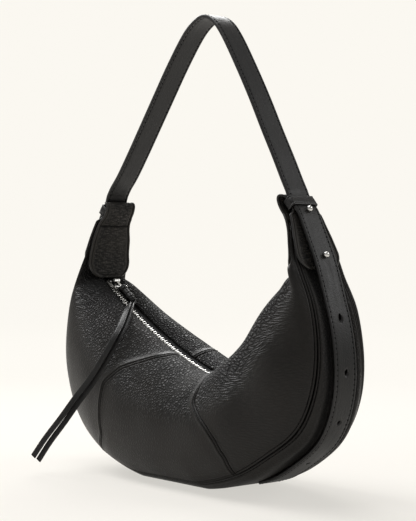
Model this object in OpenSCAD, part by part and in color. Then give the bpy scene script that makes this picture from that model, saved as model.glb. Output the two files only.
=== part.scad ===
// Half moon shoulder bag of black leather, standing on its flat base with the strap up.
// +X runs to the right horn, -Y is the front panel, +Z is up, and Z = 0 is the floor.
// Every wall follows one set of sections that fan out from the zip line to the outer edge.

/* [Leather] */
// Thickness of the panel and gusset leather
leather_t = 1.8; // [1.4:0.1:2.2]
// Thickness of the lining cloth
lining_t = 0.6; // [0.4:0.1:0.8]
// Gap left between pieces that are sewn or glued together
seam_gap = 0.4; // [0.3:0.1:0.5]

/* [Zip] */
// Width of the slot between the two panel edges, where the zip shows
mouth_w = 13; // [12:0.5:14]
// Distance from one tooth to the next along one side of the zip
tooth_pitch = 6.2; // [5:0.2:8]
// Height of a zip tooth
tooth_h = 3; // [2.6:0.1:3.2]
// Diameter of the leather barrel of the pull
barrel_d = 9; // [8:0.5:10]
// Length of the leather barrel of the pull
barrel_l = 23; // [20:1:25]
// Width of the pull's leather thong
thong_w = 8; // [7:0.5:9]

/* [Strap] */
// Width of the shoulder strap
strap_w = 25; // [22:1:26]
// Thickness of the shoulder strap
strap_t = 3; // [2.4:0.2:3.2]
// Diameter of the strap's adjusting holes
hole_d = 4.2; // [3.8:0.2:5]
// Width of the leather keeper loop
keeper_w = 10; // [8:1:12]

/* [Hardware] */
// Diameter of a stud's round head
stud_head_d = 5.6; // [4.6:0.2:6.4]
// Diameter of a stud's shank
stud_shank_d = 3.2; // [2.8:0.2:3.6]

/* [Hidden] */
$fn = 32;

// Colours as the photo shows them
leather_c = "#1b1a1b";
strap_c = "#171617";
lining_c = "#4a4640";
metal_c = "#d4d4d2";
tape_c = "#101011";
board_c = "#6b5a45";

// The zip line is three arcs about axes along Y: left run, low bend and right run
run_l_c = [177, 611];
run_l_r = 537;
run_r_c = [-88, 367];
run_r_r = 300;
bend_r = 60;
zip_end_x = 150;

// Centre of the bend that touches both runs from inside
to_l = run_l_r - bend_r;
to_r = run_r_r - bend_r;
apart = run_r_c - run_l_c;
along = (to_l * to_l - to_r * to_r + apart * apart) / (2 * norm(apart));
aside = sqrt(to_l * to_l - along * along);
apart_dir = apart / norm(apart);
bend_c = run_l_c + apart_dir * along + [-apart_dir[1], apart_dir[0]] * aside;
join_l = run_l_c + (bend_c - run_l_c) * run_l_r / to_l;
join_r = run_r_c + (bend_c - run_r_c) * run_r_r / to_r;

// Angles of the arcs, from straight down at each centre, positive to the right
ang_start = asin((-zip_end_x - run_l_c[0]) / run_l_r);
ang_low = asin((join_l[0] - run_l_c[0]) / run_l_r);
ang_rise = asin((join_r[0] - run_r_c[0]) / run_r_r);
ang_end = asin((zip_end_x - run_r_c[0]) / run_r_r);

// Height of a circle's lower half at x
function arc_z(c, r, x) = c[1] - sqrt(r * r - (x - c[0]) * (x - c[0]));
function zip_z(x) = x < join_l[0] ? arc_z(run_l_c, run_l_r, x)
    : x > join_r[0] ? arc_z(run_r_c, run_r_r, x) : arc_z(bend_c, bend_r, x);

// Length of each arc, and the place and slope at a distance along the zip line
len_l = run_l_r * (ang_low - ang_start) * PI / 180;
len_bend = bend_r * (ang_rise - ang_low) * PI / 180;
len_r = run_r_r * (ang_end - ang_rise) * PI / 180;
zip_len = len_l + len_bend + len_r;
function on_arc(c, r, a) = [c[0] + r * sin(a), c[1] - r * cos(a), a];
function track(s) =
    s < len_l ? on_arc(run_l_c, run_l_r, ang_start + s / run_l_r * 180 / PI)
    : s < len_l + len_bend ? on_arc(bend_c, bend_r, ang_low + (s - len_l) / bend_r * 180 / PI)
    : on_arc(run_r_c, run_r_r, ang_rise + (s - len_l - len_bend) / run_r_r * 180 / PI);

// Sections of the body from the middle to the tip of a horn. Each row holds: x on the zip line
// of the left side, x of the right side, height of the inner wall (0 = on the zip line),
// outer edge x and z, widest half depth, half width of the gusset, rise of its edges.
SECTIONS = [[30, 30, 0, 0, 0, 61, 44.5, 7.5],
            [4, 54, 0, 45, 0, 61, 44.5, 7.5],
            [-24, 75, 0, 95, 12, 60, 42.5, 8],
            [-54, 95, 0, 134, 32, 55, 39, 8.5],
            [-84, 112, 0, 163, 55, 50, 31, 9],
            [-112, 127, 0, 178, 87, 43, 28, 8],
            [-134, 140, 0, 180, 124, 36, 25.5, 6],
            [-149, 150, 0, 171, 164, 30, 23.5, 4],
            [-145, 145, 207, 151.5, 202.2, 25, 21.5, 2.5],
            [-134.8, 134.8, 234.2, 138.9, 231.9, 16.5, 15, 1]];
LAST = len(SECTIONS) - 1;
FLAT = 1;
ZIP_END = 7;

// Shape of a panel between the zip and the gusset: a curve with two pull points, given as
// shares of the section's length and half depth. It rises above the zip before it falls,
// most of all beside the right run of the zip.
puff_up = -0.26;
puff_right = -0.36;
puff_back = -0.05;
// Fold that stands up on both sides of the right tab's foot: how far its two pull points move
// up, and the station of its middle
fold_up = [16, 8];
fold_at = 7.4;
fold_w = 0.35;
front_more = 0.12;
puff_out = 1.0;
belly_down = 0.80;
belly_out = 1.32;
panel_end = 0.985;

// The left horn stands more upright than the right one, turned about its foot
horn_foot = [156.1, 197.2];
upright = 5.6;
function lean_out(p, side) = side > 0 ? p : let (f = [-horn_foot[0], horn_foot[1]], d = p - f)
    f + [d[0] * cos(upright) - d[1] * sin(upright), d[0] * sin(upright) + d[1] * cos(upright)];

function station(k) = let (r = SECTIONS[abs(k)], side = k < 0 ? -1 : 1, x = k < 0 ? r[0] : r[1],
    inner = r[2] == 0 ? [x, zip_z(x)] : lean_out([x, r[2]], side),
    outer = r[2] == 0 ? [side * r[3], r[4]] : lean_out([side * r[3], r[4]], side))
    [inner[0], inner[1], outer[0], outer[1], r[5], r[6], r[7]];
function row(k) = abs(k) <= LAST ? station(k)
    : 2 * station(sign(k) * LAST) - station(sign(k) * (LAST - 1));

// Smooth cubic curve through four rows
function cubic(p0, p1, p2, p3, f) = 0.5 * (2 * p1 + (p2 - p0) * f
    + (2 * p0 - 5 * p1 + 4 * p2 - p3) * f * f + (3 * p1 - p0 - 3 * p2 + p3) * f * f * f);

// Section at u, from -9 at the left horn's tip to 9 at the right one's:
// [inner x, inner z, down x, down z, length, half depth, gusset half width, rise]
function section(u) = let (
    i = max(-LAST, min(LAST - 1, floor(u))),
    r = cubic(row(i - 1), row(i), row(i + 1), row(i + 2), u - i),
    inner = [r[0], abs(u) <= ZIP_END ? zip_z(r[0]) : r[1]],
    outer = [r[2], abs(u) <= FLAT ? 0 : max(0, r[3])],
    l = norm(outer - inner),
    d = (outer - inner) / l)
    [inner[0], inner[1], d[0], d[1], l, r[4], r[5], r[6]];

// Half width of the mouth, which closes where the zip ends
function mouth_half(u) = max(0.3, mouth_w / 2 * min(1, 1 - (abs(u) - ZIP_END + 0.1) / 0.5));

// The puff above the zip fades out in the horns
function ramp(u, a, b) = let (f = max(0, min(1, (u - a) / (b - a)))) f * f * (3 - 2 * f);
function puff(u, side) = (puff_up + puff_right * ramp(u, 2, 6)
    + (side > 0 ? puff_back * ramp(-u, 0, 2) : 0))
    * (u > 0 ? 1 - ramp(u, 7, 8.4) : 1 - ramp(-u, 6, 7.8));
function half_depth(u, side, w) = w * (1 + (side < 0 ? front_more : 0) * ramp(u, 3, 5));

// Places [depth below the zip line, distance from the middle plane] of a panel's section
function bezier(p, v) = pow(1 - v, 3) * p[0] + 3 * v * (1 - v) * (1 - v) * p[1]
    + 3 * v * v * (1 - v) * p[2] + v * v * v * p[3];
function bezier_slope(p, v) = 3 * (1 - v) * (1 - v) * (p[1] - p[0])
    + 6 * v * (1 - v) * (p[2] - p[1]) + 3 * v * v * (p[3] - p[2]);
function pulls(u, s, side) = let (w = half_depth(u, side, s[5]),
    f = exp(-pow((u - fold_at) / fold_w, 2)))
    [[0, mouth_half(u)], [puff(u, side) * s[4] - fold_up[0] * f, puff_out * w],
    [belly_down * s[4] - fold_up[1] * f, belly_out * w], [s[4] - s[7], s[6]]];

// A point given in a section's own plane, brought into space
function place(s, t, y) = [s[0] + s[2] * t, y, s[1] + s[3] * t];

// The leather is pared thin in the horn tips, where its layers lie close together
function pared(u) = 1 - 0.5 * ramp(abs(u), 7.2, 8.2);

// Point of a panel, v from 0 at the zip to 1 at the gusset, set inward by a distance
function panel_point(u, v, side, inward) = let (s = section(u), p = pulls(u, s, side),
    q = bezier(p, v), g = bezier_slope(p, v), n = [-g[1], g[0]] / norm(g))
    place(s, q[0] - n[0] * inward * pared(u), side * (q[1] - n[1] * inward * pared(u)));

// Point of the gusset, w from -1 at the front edge to 1 at the back edge. Its middle three
// fifths are flat and its edges curve up to the panels.
gusset_flat = 0.6;
function gusset_rise(w) = abs(w) < gusset_flat ? 0
    : pow((abs(w) - gusset_flat) / (1 - gusset_flat), 2);
function gusset_point(u, w, inward) = let (s = section(u), a = abs(w),
    steep = a < gusset_flat ? 0 : 2 * (a - gusset_flat) / pow(1 - gusset_flat, 2) * s[7] / s[6],
    n = [1, steep] / norm([1, steep]))
    place(s, s[4] - s[7] * gusset_rise(w) - n[0] * inward * pared(u),
        w * s[6] - sign(w) * n[1] * inward * pared(u));

// Station at which a seam between two panels runs, from the zip (0) to the gusset (1)
SEAM_LEFT = [[0, 1.88], [0.16, 1.88], [0.28, 2.17], [0.41, 2.64], [0.54, 2.84], [0.64, 2.53],
             [0.78, 2.05], [1, 2.1]];
SEAM_RIGHT = [[0, 0.55], [0.14, 0.68], [0.3, 0.98], [0.44, 1.04], [0.55, 1.48], [0.63, 1.78],
              [0.71, 1.98], [0.83, 2.1], [1, 2]];
function seam_left(v) = -lookup(v, SEAM_LEFT);
function seam_right(v) = lookup(v, SEAM_RIGHT);
seam_slit = 0.007;
horn_tip = LAST - 0.02;

// Closed wall between an outer and an inner grid of points, both [row][column]
module wall(outer, inner, flip) {
    nu = len(outer) - 1;
    nv = len(outer[0]) - 1;
    n = (nu + 1) * (nv + 1);
    function at(i, j) = i * (nv + 1) + j;
    function quad(a, b, c, d) = [[a, b, c], [a, c, d]];
    faces = [
        for (i = [0 : nu - 1], j = [0 : nv - 1])
            each quad(at(i, j), at(i + 1, j), at(i + 1, j + 1), at(i, j + 1)),
        for (i = [0 : nu - 1], j = [0 : nv - 1])
            each quad(at(i, j) + n, at(i, j + 1) + n, at(i + 1, j + 1) + n, at(i + 1, j) + n),
        for (i = [0 : nu - 1]) each quad(at(i + 1, 0), at(i, 0), at(i, 0) + n, at(i + 1, 0) + n),
        for (i = [0 : nu - 1])
            each quad(at(i, nv), at(i + 1, nv), at(i + 1, nv) + n, at(i, nv) + n),
        for (j = [0 : nv - 1]) each quad(at(0, j), at(0, j + 1), at(0, j + 1) + n, at(0, j) + n),
        for (j = [0 : nv - 1])
            each quad(at(nu, j + 1), at(nu, j), at(nu, j) + n, at(nu, j + 1) + n)];
    points = concat([for (r = outer) each r], [for (r = inner) each r]);
    polyhedron(points, flip ? [for (f = faces) [f[2], f[1], f[0]]] : faces);
}

// Part of the panel surface between the stations from(v) and to(v), steps wide
module panel_wall(side, from, to, v_range, steps, deep) {
    rows = 12;
    function grid(inward) = [for (i = [0 : steps]) [for (j = [0 : rows])
        let (v = v_range[0] + (v_range[1] - v_range[0]) * j / rows,
             a = from(v), b = to(v))
        panel_point(a + (b - a) * i / steps, v, side, inward)]];
    wall(grid(deep[0]), grid(deep[1]), side > 0);
}

module panel_left(side) {
    color(leather_c) panel_wall(side, function(v) -horn_tip, function(v) seam_left(v) - seam_slit,
        [0, panel_end], 20, [0, leather_t]);
}

module panel_centre(side) {
    color(leather_c) panel_wall(side, function(v) seam_left(v) + seam_slit,
        function(v) seam_right(v) - seam_slit, [0, panel_end], 14, [0, leather_t]);
}

module panel_right(side) {
    color(leather_c) panel_wall(side, function(v) seam_right(v) + seam_slit,
        function(v) horn_tip, [0, panel_end], 20, [0, leather_t]);
}

module front_panel_left() { panel_left(-1); }
module front_panel_centre() { panel_centre(-1); }
module front_panel_right() { panel_right(-1); }
module back_panel_left() { panel_left(1); }
module back_panel_centre() { panel_centre(1); }
module back_panel_right() { panel_right(1); }

// Strip of the gusset surface between two stations
module gusset_wall(from, to, w_max, steps, deep) {
    cols = 10;
    function grid(inward) = [for (i = [0 : steps]) [for (j = [0 : cols])
        gusset_point(from + (to - from) * i / steps, w_max * (2 * j / cols - 1), inward)]];
    wall(grid(deep[0]), grid(deep[1]), false);
}

gusset_cut = 0.01;
module gusset_left() {
    color(leather_c) gusset_wall(-horn_tip, -FLAT - gusset_cut, 1, 32, [0, leather_t]);
}
module gusset_right() {
    color(leather_c) gusset_wall(FLAT + gusset_cut, horn_tip, 1, 32, [0, leather_t]);
}

// Flat middle of the gusset, the face that the bag stands on
module gusset_base() {
    color(leather_c) gusset_wall(gusset_cut - FLAT, FLAT - gusset_cut, 1, 8, [0, leather_t]);
}

// Stiff board over the base, under the lining
board_half = [41, 20];
board_t = 2;
module base_board() {
    color(board_c) translate([0, 0, leather_t + seam_gap])
        linear_extrude(board_t)
            offset(r = 6) square([2 * board_half[0] - 12, 2 * board_half[1] - 12], center = true);
}

// Lining: one bag inside the shell, in three pieces
lining_top = 7;
lining_gap = 1.2;
lining_in = leather_t + lining_gap;
lining_v = [0.09, 0.95];
module lining_side(side) {
    color(lining_c) panel_wall(side, function(v) -lining_top, function(v) lining_top, lining_v, 36,
        [lining_in, lining_in + lining_t]);
}
module lining_front() { lining_side(-1); }
module lining_back() { lining_side(1); }

lining_floor = leather_t + board_t + 2 * seam_gap + 0.3;
module lining_gusset() {
    color(lining_c) gusset_wall(-lining_top, lining_top, 0.84, 36,
        [lining_floor, lining_floor + lining_t]);
}

// Slip pocket on the back lining
pocket_in = lining_in + lining_t + lining_gap;
module inner_pocket() {
    color(lining_c) panel_wall(1, function(v) -1.4, function(v) 1.2, [0.28, 0.72], 10,
        [pocket_in, pocket_in + 0.8]);
}

// A run along the whole zip line, between two depths below it and two places across it
module zip_run(r_in, r_out, y_in, y_out) {
    steps = 60;
    function at(s, depth) = let (t = track(s)) [t[0] + depth * sin(t[2]), t[1] - depth * cos(t[2])];
    translate([0, y_out, 0]) rotate([90, 0, 0]) linear_extrude(y_out - y_in)
        polygon(concat([for (k = [0 : steps]) at(zip_len * k / steps, r_out)],
            [for (k = [steps : -1 : 0]) at(zip_len * k / steps, r_in)]));
}

tape_in = 3.3;
tape_out = 11;
tape_t = 0.8;
tooth_top = 1.5;
tape_top = tooth_top + (tooth_h - tape_t) / 2;
module zip_tape_front() { color(tape_c) zip_run(tape_top, tape_top + tape_t, -tape_out, -tape_in); }
module zip_tape_back() { color(tape_c) zip_run(tape_top, tape_top + tape_t, tape_in, tape_out); }

// Moves a child from the origin to a distance along the zip, x along it and z up from it
module on_track(s) {
    p = track(s);
    translate([p[0], 0, p[1]]) rotate([0, -p[2], 0]) children();
}

// One row of teeth. The rows are half a pitch apart and reach past the middle.
tooth_l = 0.28 * tooth_pitch;
tooth_y = 3.1;
tooth_past = 2.4;
chain_start = 10.6;
chain_end = 6;
module teeth_row(side) {
    shift = side > 0 ? tooth_pitch / 2 : 0;
    count = floor((zip_len - chain_start - chain_end) / tooth_pitch);
    color(metal_c) for (i = [0 : count - 1])
        on_track(chain_start + shift + i * tooth_pitch)
            translate([-tooth_l / 2, side > 0 ? -tooth_past : -tooth_y, -tooth_top - tooth_h])
                cube([tooth_l, tooth_y + tooth_past, tooth_h]);
}
module zip_teeth_front() { teeth_row(-1); }
module zip_teeth_back() { teeth_row(1); }

// Metal stop at each end of the chain
stop_l = 2.4;
module zip_stop(s) {
    color(metal_c) on_track(s) translate([-stop_l / 2, -tooth_y, -tooth_top - tooth_h])
        cube([stop_l, 2 * tooth_y, tooth_h]);
}
module zip_stop_left() { zip_stop(2.6); }
module zip_stop_right() { zip_stop(zip_len - 2.6); }

// Slider: two plates joined by a post between the tape edges, side flanges with a slit for
// the tape, and two lugs that hold the pull's pin
slider_x = -140;
slider_s = (asin((slider_x - run_l_c[0]) / run_l_r) - ang_start) * PI / 180 * run_l_r;
slider_l = 14;
slider_w = 10.6;
plate_t = 1.1;
plate_gap = 0.35;
flange_t = 1.1;
post_w = 1.8;
post_l = 3;
slit_half = tape_t / 2 + 0.35;
tape_mid = tape_top + tape_t / 2;
pin_up = 6;
pin_x = 3.5;
pin_d = 1.8;
lug_t = 1.3;
lug_gap = 3.2;
chain_top = tooth_top - plate_gap;
chain_low = tooth_top + tooth_h + plate_gap;
module slider_plate(top) {
    translate([0, 0, -top - plate_t]) linear_extrude(plate_t) hull() {
        translate([slider_l / 2 - 2, 0]) circle(r = 2 + 1.5);
        translate([-slider_l / 2 + 1, 0]) square([2, slider_w], center = true);
        translate([1, 0]) square([slider_l / 2, slider_w], center = true);
    }
}
module zip_slider() {
    color(metal_c) on_track(slider_s) {
        slider_plate(chain_top - plate_t);
        slider_plate(chain_low);
        translate([-slider_l / 2, -post_w / 2, -chain_low])
            cube([post_l, post_w, chain_low - chain_top]);
        for (side = [-1, 1]) {
            translate([-slider_l / 2, side * (slider_w - flange_t) / 2 - flange_t / 2, 0]) {
                translate([0, 0, -tape_mid + slit_half])
                    cube([slider_l * 0.78, flange_t, tape_mid - slit_half - chain_top]);
                translate([0, 0, -chain_low])
                    cube([slider_l * 0.78, flange_t, chain_low - tape_mid - slit_half]);
            }
            difference() {
                translate([pin_x, side * (lug_gap + lug_t) / 2 + lug_t / 2, pin_up])
                    rotate([90, 0, 0]) linear_extrude(lug_t) {
                        circle(d = 5);
                        translate([-2.5, -pin_up - chain_top]) square([5, pin_up + chain_top]);
                    }
                translate([pin_x, 0, pin_up]) rotate([90, 0, 0])
                    cylinder(d = pin_d, h = 12, center = true);
            }
        }
        translate([pin_x, 0, pin_up]) rotate([90, 0, 0])
            cylinder(d = pin_d, h = lug_gap + 2 * lug_t + 1, center = true);
    }
}

// Pull: an eye on the slider's pin, a link, and a cross bar at the head of the barrel
eye_d = 4.6;
eye_bore = pin_d + 0.5;
eye_w = lug_gap - 0.6;
link_l = 10;
bar_d = 2.4;
bar_l = 13;
module at_pull() {
    on_track(slider_s) translate([pin_x, 0, pin_up]) children();
}
module zip_pull() {
    color(metal_c) at_pull() {
        difference() {
            rotate([90, 0, 0]) linear_extrude(eye_w, center = true) {
                circle(d = eye_d);
                translate([0, -1]) square([link_l, 2]);
            }
            rotate([90, 0, 0]) cylinder(d = eye_bore, h = 10, center = true);
        }
        translate([link_l, 0, 0]) rotate([90, 0, 0])
            cylinder(d = bar_d, h = bar_l, center = true);
        for (side = [-1, 1]) translate([link_l, side * bar_l / 2, 0]) sphere(d = bar_d + 0.6);
    }
}

// Leather barrel bound round the thong's head, with two raised bands
wrap_start = link_l + bar_d / 2 + 0.3;
module pull_wrap() {
    color(leather_c) at_pull() translate([wrap_start, 0, 0.8]) rotate([0, 90, 0])
        rotate_extrude($fn = 40) polygon([
            [0, 0], [barrel_d / 2 - 1, 0], [barrel_d / 2, 1], [barrel_d / 2, 5],
            [barrel_d / 2 - 0.5, 5.6], [barrel_d / 2 - 0.5, barrel_l - 4], [barrel_d / 2 - 1.2, barrel_l],
            [0, barrel_l]]);
}

// Thong: two plies that leave the barrel, arch over the front panel and hang free.
// Places of the middle line, from the barrel to the free end.
THONG = [[-104, -3, 158], [-94.5, -11.5, 158.5], [-84, -22, 154], [-76.5, -31.5, 145.5],
         [-73, -39.5, 136], [-73, -46, 126.5], [-78, -55, 108], [-87.5, -62.5, 89], [-96.5, -73.5, 70],
         [-106, -83, 51], [-117.5, -92, 32], [-127.5, -99, 14]];
thong_t = 1.4;
ply_gap = 0.8;
thong_face = [0.36, -0.83, 0.41];

function unit(v) = v / norm(v);
function spline(pts, f) = let (n = len(pts) - 1, i = min(n - 1, floor(f)),
    a = pts[max(0, i - 1)], b = pts[i], c = pts[i + 1], d = pts[min(n, i + 2)])
    cubic(a, b, c, d, f - i);

// Flat band along a route in space, its face turned to a direction, lifted off the route
module band(pts, width, thick, face, lift, fan) {
    steps = 2 * (len(pts) - 1);
    function ring(k) = let (f = k / 2, p = spline(pts, f),
        ahead = spline(pts, min(len(pts) - 1, f + 0.1)), behind = spline(pts, max(0, f - 0.1)),
        t = unit(ahead - behind), b = unit(cross(t, face)), n = cross(b, t),
        c = p + n * lift + b * fan * pow(k / steps, 3), w = width * (0.75 + 0.25 * min(1, k / 4)))
        [c - b * w / 2 - n * thick / 2, c + b * w / 2 - n * thick / 2,
         c + b * w / 2 + n * thick / 2, c - b * w / 2 + n * thick / 2];
    points = [for (k = [0 : steps]) each ring(k)];
    faces = [[2, 1, 0], [3, 2, 0],
        for (k = [0 : steps - 1], j = [0 : 3]) let (a = 4 * k + j, b = 4 * k + (j + 1) % 4)
            each [[a + 4, a, b], [b + 4, a + 4, b]],
        [4 * steps, 4 * steps + 1, 4 * steps + 2], [4 * steps, 4 * steps + 2, 4 * steps + 3]];
    polyhedron(points, faces);
}
module thong_upper_ply() {
    color(leather_c) band(THONG, thong_w, thong_t, thong_face, (thong_t + ply_gap) / 2, 2);
}
module thong_lower_ply() {
    color(leather_c) band(THONG, thong_w, thong_t, thong_face, -(thong_t + ply_gap) / 2, -2);
}

// Points of a line moved sideways by a distance, to its left as it runs
function side_line(pts, d) = [for (i = [0 : len(pts) - 1])
    let (a = pts[max(0, i - 1)], b = pts[min(len(pts) - 1, i + 1)], t = unit(b - a))
    pts[i] + d * [-t[1], t[0]]];
function reversed(l) = [for (i = [len(l) - 1 : -1 : 0]) l[i]];
function smooth(pts, steps) = [for (k = [0 : steps * (len(pts) - 1)]) spline(pts, k / steps)];

// Leather band seen from the front: a line in the XZ plane with a thickness, of a width in Y
module strip(pts, from, to, width) {
    rotate([90, 0, 0]) linear_extrude(width, center = true)
        polygon(concat(side_line(pts, from), reversed(side_line(pts, to))));
}

// Frame of a horn's tip in the XZ plane, drawn for the right side. A place is given as
// [out, up]: out is away from the bag's middle, square to the horn, and up runs along it.
// The left horn leans less, and its pieces are mirrored after they are drawn.
RIGHT = 26.6;
LEFT = RIGHT - upright;
foot_down = 40;
function at_horn(p, lean) = horn_foot + p[0] * [cos(lean), sin(lean)]
    + (p[1] + foot_down) * [-sin(lean), cos(lean)];
module in_horn(p, lean) {
    c = at_horn(p, lean);
    translate([c[0], 0, c[1]]) rotate([0, -lean, 0]) children();
}

// The tab is folded over the horn's tip. Its line runs up the inner wall, round the tunnel
// for the keeper and down the gusset. Its foot stands off the puffed wall. The left fold
// sits a little lower on its horn than the right one.
tip_drop = 3.8;
TAB_RIGHT = [[-17.5, -46], [-15.6, -41], [-13.4, -34], [-9.2, -26], [-5.9, -13.6],
             [-4.3, -3], [-4, 3], [-4.3, 8], [-5.6, 13.5], [-6.8, 19], [-7.2, 24], [-6.5, 28],
             [-4.4, 29.4], [-2.5, 27], [-1.9, 23], [-1, 20], [0.15, 16], [0.75, 12], [0.9, 8],
             [0.9, 4], [0.65, 0], [0, -12], [-0.8, -24], [-1.35, -33.5], [-1.4, -43]];
TAB_LEFT = [[-15.4, -50.5], [-13.6, -46.5], [-10.8, -40], [-8.5, -34], [-6.2, -26],
            [-4.75, -13.6], [-3.3, -3], [-3.2, 2], [-3.9, 6], [-5.6, 10.5], [-7.1, 15.5],
            [-7.6, 20.2], [-6.8, 24.2], [-4.6, 25.5], [-2.5, 23.2], [-1.9, 19.2], [-1, 16.2],
            [0.15, 12.2], [0.75, 8.2], [0.9, 5], [0.9, 2], [0.65, -2], [0, -12],
            [-0.8, -24], [-0.9, -33.5], [0.3, -43]];
function tab_line(lean) = lean == LEFT ? TAB_LEFT : TAB_RIGHT;
function drop(lean) = lean == LEFT ? tip_drop : 0;
tab_t = 1.6;
tunnel_half = 17.6;
waist_half = 13.1;
tab_half = 25;
tab_between = -3;

// Outline of one leg of the tab, seen square to the horn: a neck at the tunnel and a round
// foot. The outer leg has a narrow waist where the keeper's sides pass it.
module tab_outline(foot, neck, from) {
    half = [[neck, 40], [neck, from], [tunnel_half + 0.8, from - 3.5], [tunnel_half + 3, -3],
            [tab_half - 2.2, -13], [tab_half, foot + 15]];
    polygon(concat(half, [for (k = [len(half) - 1 : -1 : 0]) [-half[k][0], half[k][1]]]));
    hull() for (side = [-1, 1]) translate([side * (tab_half - 15), foot + 15]) circle(r = 15, $fn = 48);
}
module tab(lean) {
    color(leather_c) difference() {
        intersection() {
            strip([for (p = smooth(tab_line(lean), 4)) at_horn(p, lean)], 0, tab_t, 2 * tab_half + 4);
            in_horn([0, 0], lean) rotate([90, 0, 90]) {
                translate([0, 0, tab_between - 20]) linear_extrude(20)
                    tab_outline(lean == LEFT ? -49 : -43, tunnel_half, 13);
                translate([0, 0, tab_between - 0.01]) linear_extrude(20)
                    tab_outline(-42, waist_half, 12.5 - drop(lean));
            }
        }
        for (p = studs_at(lean)) in_horn(p, lean) rotate([0, 90, 0]) translate([0, 0, -7])
            cylinder(d = stud_shank_d + 0.6, h = 7);
    }
}
module tab_right() { tab(RIGHT); }
module tab_left() { mirror([1, 0, 0]) tab(LEFT); }

// Stiffening stay sewn inside each horn
STAY = [[-6.9, -56], [-5.9, -47], [-5.1, -39]];
module horn_stay(lean) {
    color(board_c) strip([for (p = smooth(STAY, 3)) at_horn(p, lean)], -0.5, 0.5, 26);
}
module horn_stay_right() { horn_stay(RIGHT); }
module horn_stay_left() { mirror([1, 0, 0]) horn_stay(LEFT); }

// Inner face of the strap on the outside of the horn, from the keeper down to the gusset
STRAP_TOP = [[-0.45, 30.4], [-0.3, 26], [0.1, 22.5], [1.1, 19], [2.4, 15], [3.5, 11], [4, 6],
             [4, 0], [4, -18], [3.9, -32], [3.3, -42], [2, -53]];
// A place on the strap beside the fold: the left one goes down with its fold
function beside_fold(p, lean) = [p[0], p[1] - drop(lean) * ramp(p[1], 0, 11) * (1 - ramp(p[1], 24, 30))];
tail_from = 7.0;
tail_to = 1.9;
function gusset_line(u) = let (p = gusset_point(u, 0, -seam_gap)) [abs(p[0]), p[2]];
function tail_line(lean) = concat([for (p = smooth(STRAP_TOP, 3)) at_horn(beside_fold(p, lean), lean)],
    [for (k = [0 : 22]) gusset_line((lean == LEFT ? -1 : 1)
        * (tail_from + (tail_to - tail_from) * k / 22))]);

// Places of the adjusting holes, as stations along the gusset
HOLES = [6.9, 5.75, 4.55, 3.1];
// Places of the two studs on the strap's inner face
STUDS = [[3.45, 11], [3.9, -32.5]];
function studs_at(lean) = [for (p = STUDS) beside_fold(p, lean)];

module strap_tail(lean) {
    color(strap_c) difference() {
        strip(tail_line(lean), 0, strap_t, strap_w);
        for (u = HOLES) {
            s = section(u);
            p = gusset_point(u, 0, 0);
            translate(p) rotate([0, atan2(s[2], s[3]), 0]) cylinder(d = hole_d, h = 30, center = true);
        }
        for (p = studs_at(lean)) in_horn(p, lean) rotate([0, 90, 0])
            cylinder(d = stud_shank_d + 0.8, h = 14, center = true);
    }
}
module strap_tail_right() { strap_tail(RIGHT); }
module strap_tail_left() { mirror([1, 0, 0]) strap_tail(LEFT); }

// Middle line of the strap's arch, from the left horn over the top to the right one
ARCH = [[-131.3, 264.6], [-125.6, 272], [-114, 284], [-97, 305], [-78.5, 329], [-57, 357],
        [-36, 384], [-14, 409], [1, 420], [15, 424], [28.5, 418], [42, 403], [61, 374], [78.5, 345],
        [94, 317], [107.2, 294], [113.8, 282], [119.5, 271.5], [125.4, 261.3]];
bend_span = 2;
arch_line = smooth(ARCH, 4);
arch_last = len(arch_line) - 1;
arch_outer = side_line(arch_line, strap_t / 2);
arch_inner = side_line(arch_line, -strap_t / 2);
// Stretch of the arch between two of its points
module arch_piece(from, to) {
    color(strap_c) rotate([90, 0, 0]) linear_extrude(strap_w, center = true)
        polygon(concat([for (k = [from : to]) arch_outer[k]],
            [for (k = [to : -1 : from]) arch_inner[k]]));
}
module strap_bend_left() { arch_piece(0, 4 * bend_span); }
module strap_arch() { arch_piece(4 * bend_span, arch_last - 4 * bend_span - 4); }
module strap_bend_right() { arch_piece(arch_last - 4 * bend_span - 4, arch_last); }

// Keeper: a closed loop through the tab's tunnel and round the strap, square to the strap
keeper_o = [0.92, 20];
keeper_tilt = 15;
keeper_t = 1.4;
keeper_in = [6.6, strap_w + 2];
module keeper(lean) {
    color(leather_c) in_horn(keeper_o - [0, drop(lean)], lean) rotate([0, -keeper_tilt, 0])
        linear_extrude(keeper_w, center = true) difference() {
            offset(r = 2) square([keeper_in[0] + 2 * keeper_t - 4, keeper_in[1] + 2 * keeper_t - 4],
                center = true);
            offset(r = 1) square([keeper_in[0] - 2, keeper_in[1] - 2], center = true);
        }
}
module keeper_right() { keeper(RIGHT); }
module keeper_left() { mirror([1, 0, 0]) keeper(LEFT); }

// Two round-headed studs per horn and the screws that hold them through tab and strap
head_up = 1.4;
module studs(lean) {
    color(metal_c) for (p = studs_at(lean)) in_horn(p, lean) rotate([0, 90, 0])
        translate([0, 0, strap_t + 0.45]) rotate_extrude($fn = 32)
            translate([0, head_up]) intersection() {
                circle(d = stud_head_d, $fn = 24);
                translate([0, -head_up]) square(stud_head_d);
            }
}
module studs_right() { studs(RIGHT); }
module studs_left() { mirror([1, 0, 0]) studs(LEFT); }
module stud_screws(lean) {
    color(metal_c) for (p = studs_at(lean)) in_horn(p, lean) rotate([0, 90, 0]) translate([0, 0, -4.2])
        cylinder(d = stud_shank_d, h = strap_t + 4.5);
}
module stud_screws_right() { stud_screws(RIGHT); }
module stud_screws_left() { mirror([1, 0, 0]) stud_screws(LEFT); }

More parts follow.
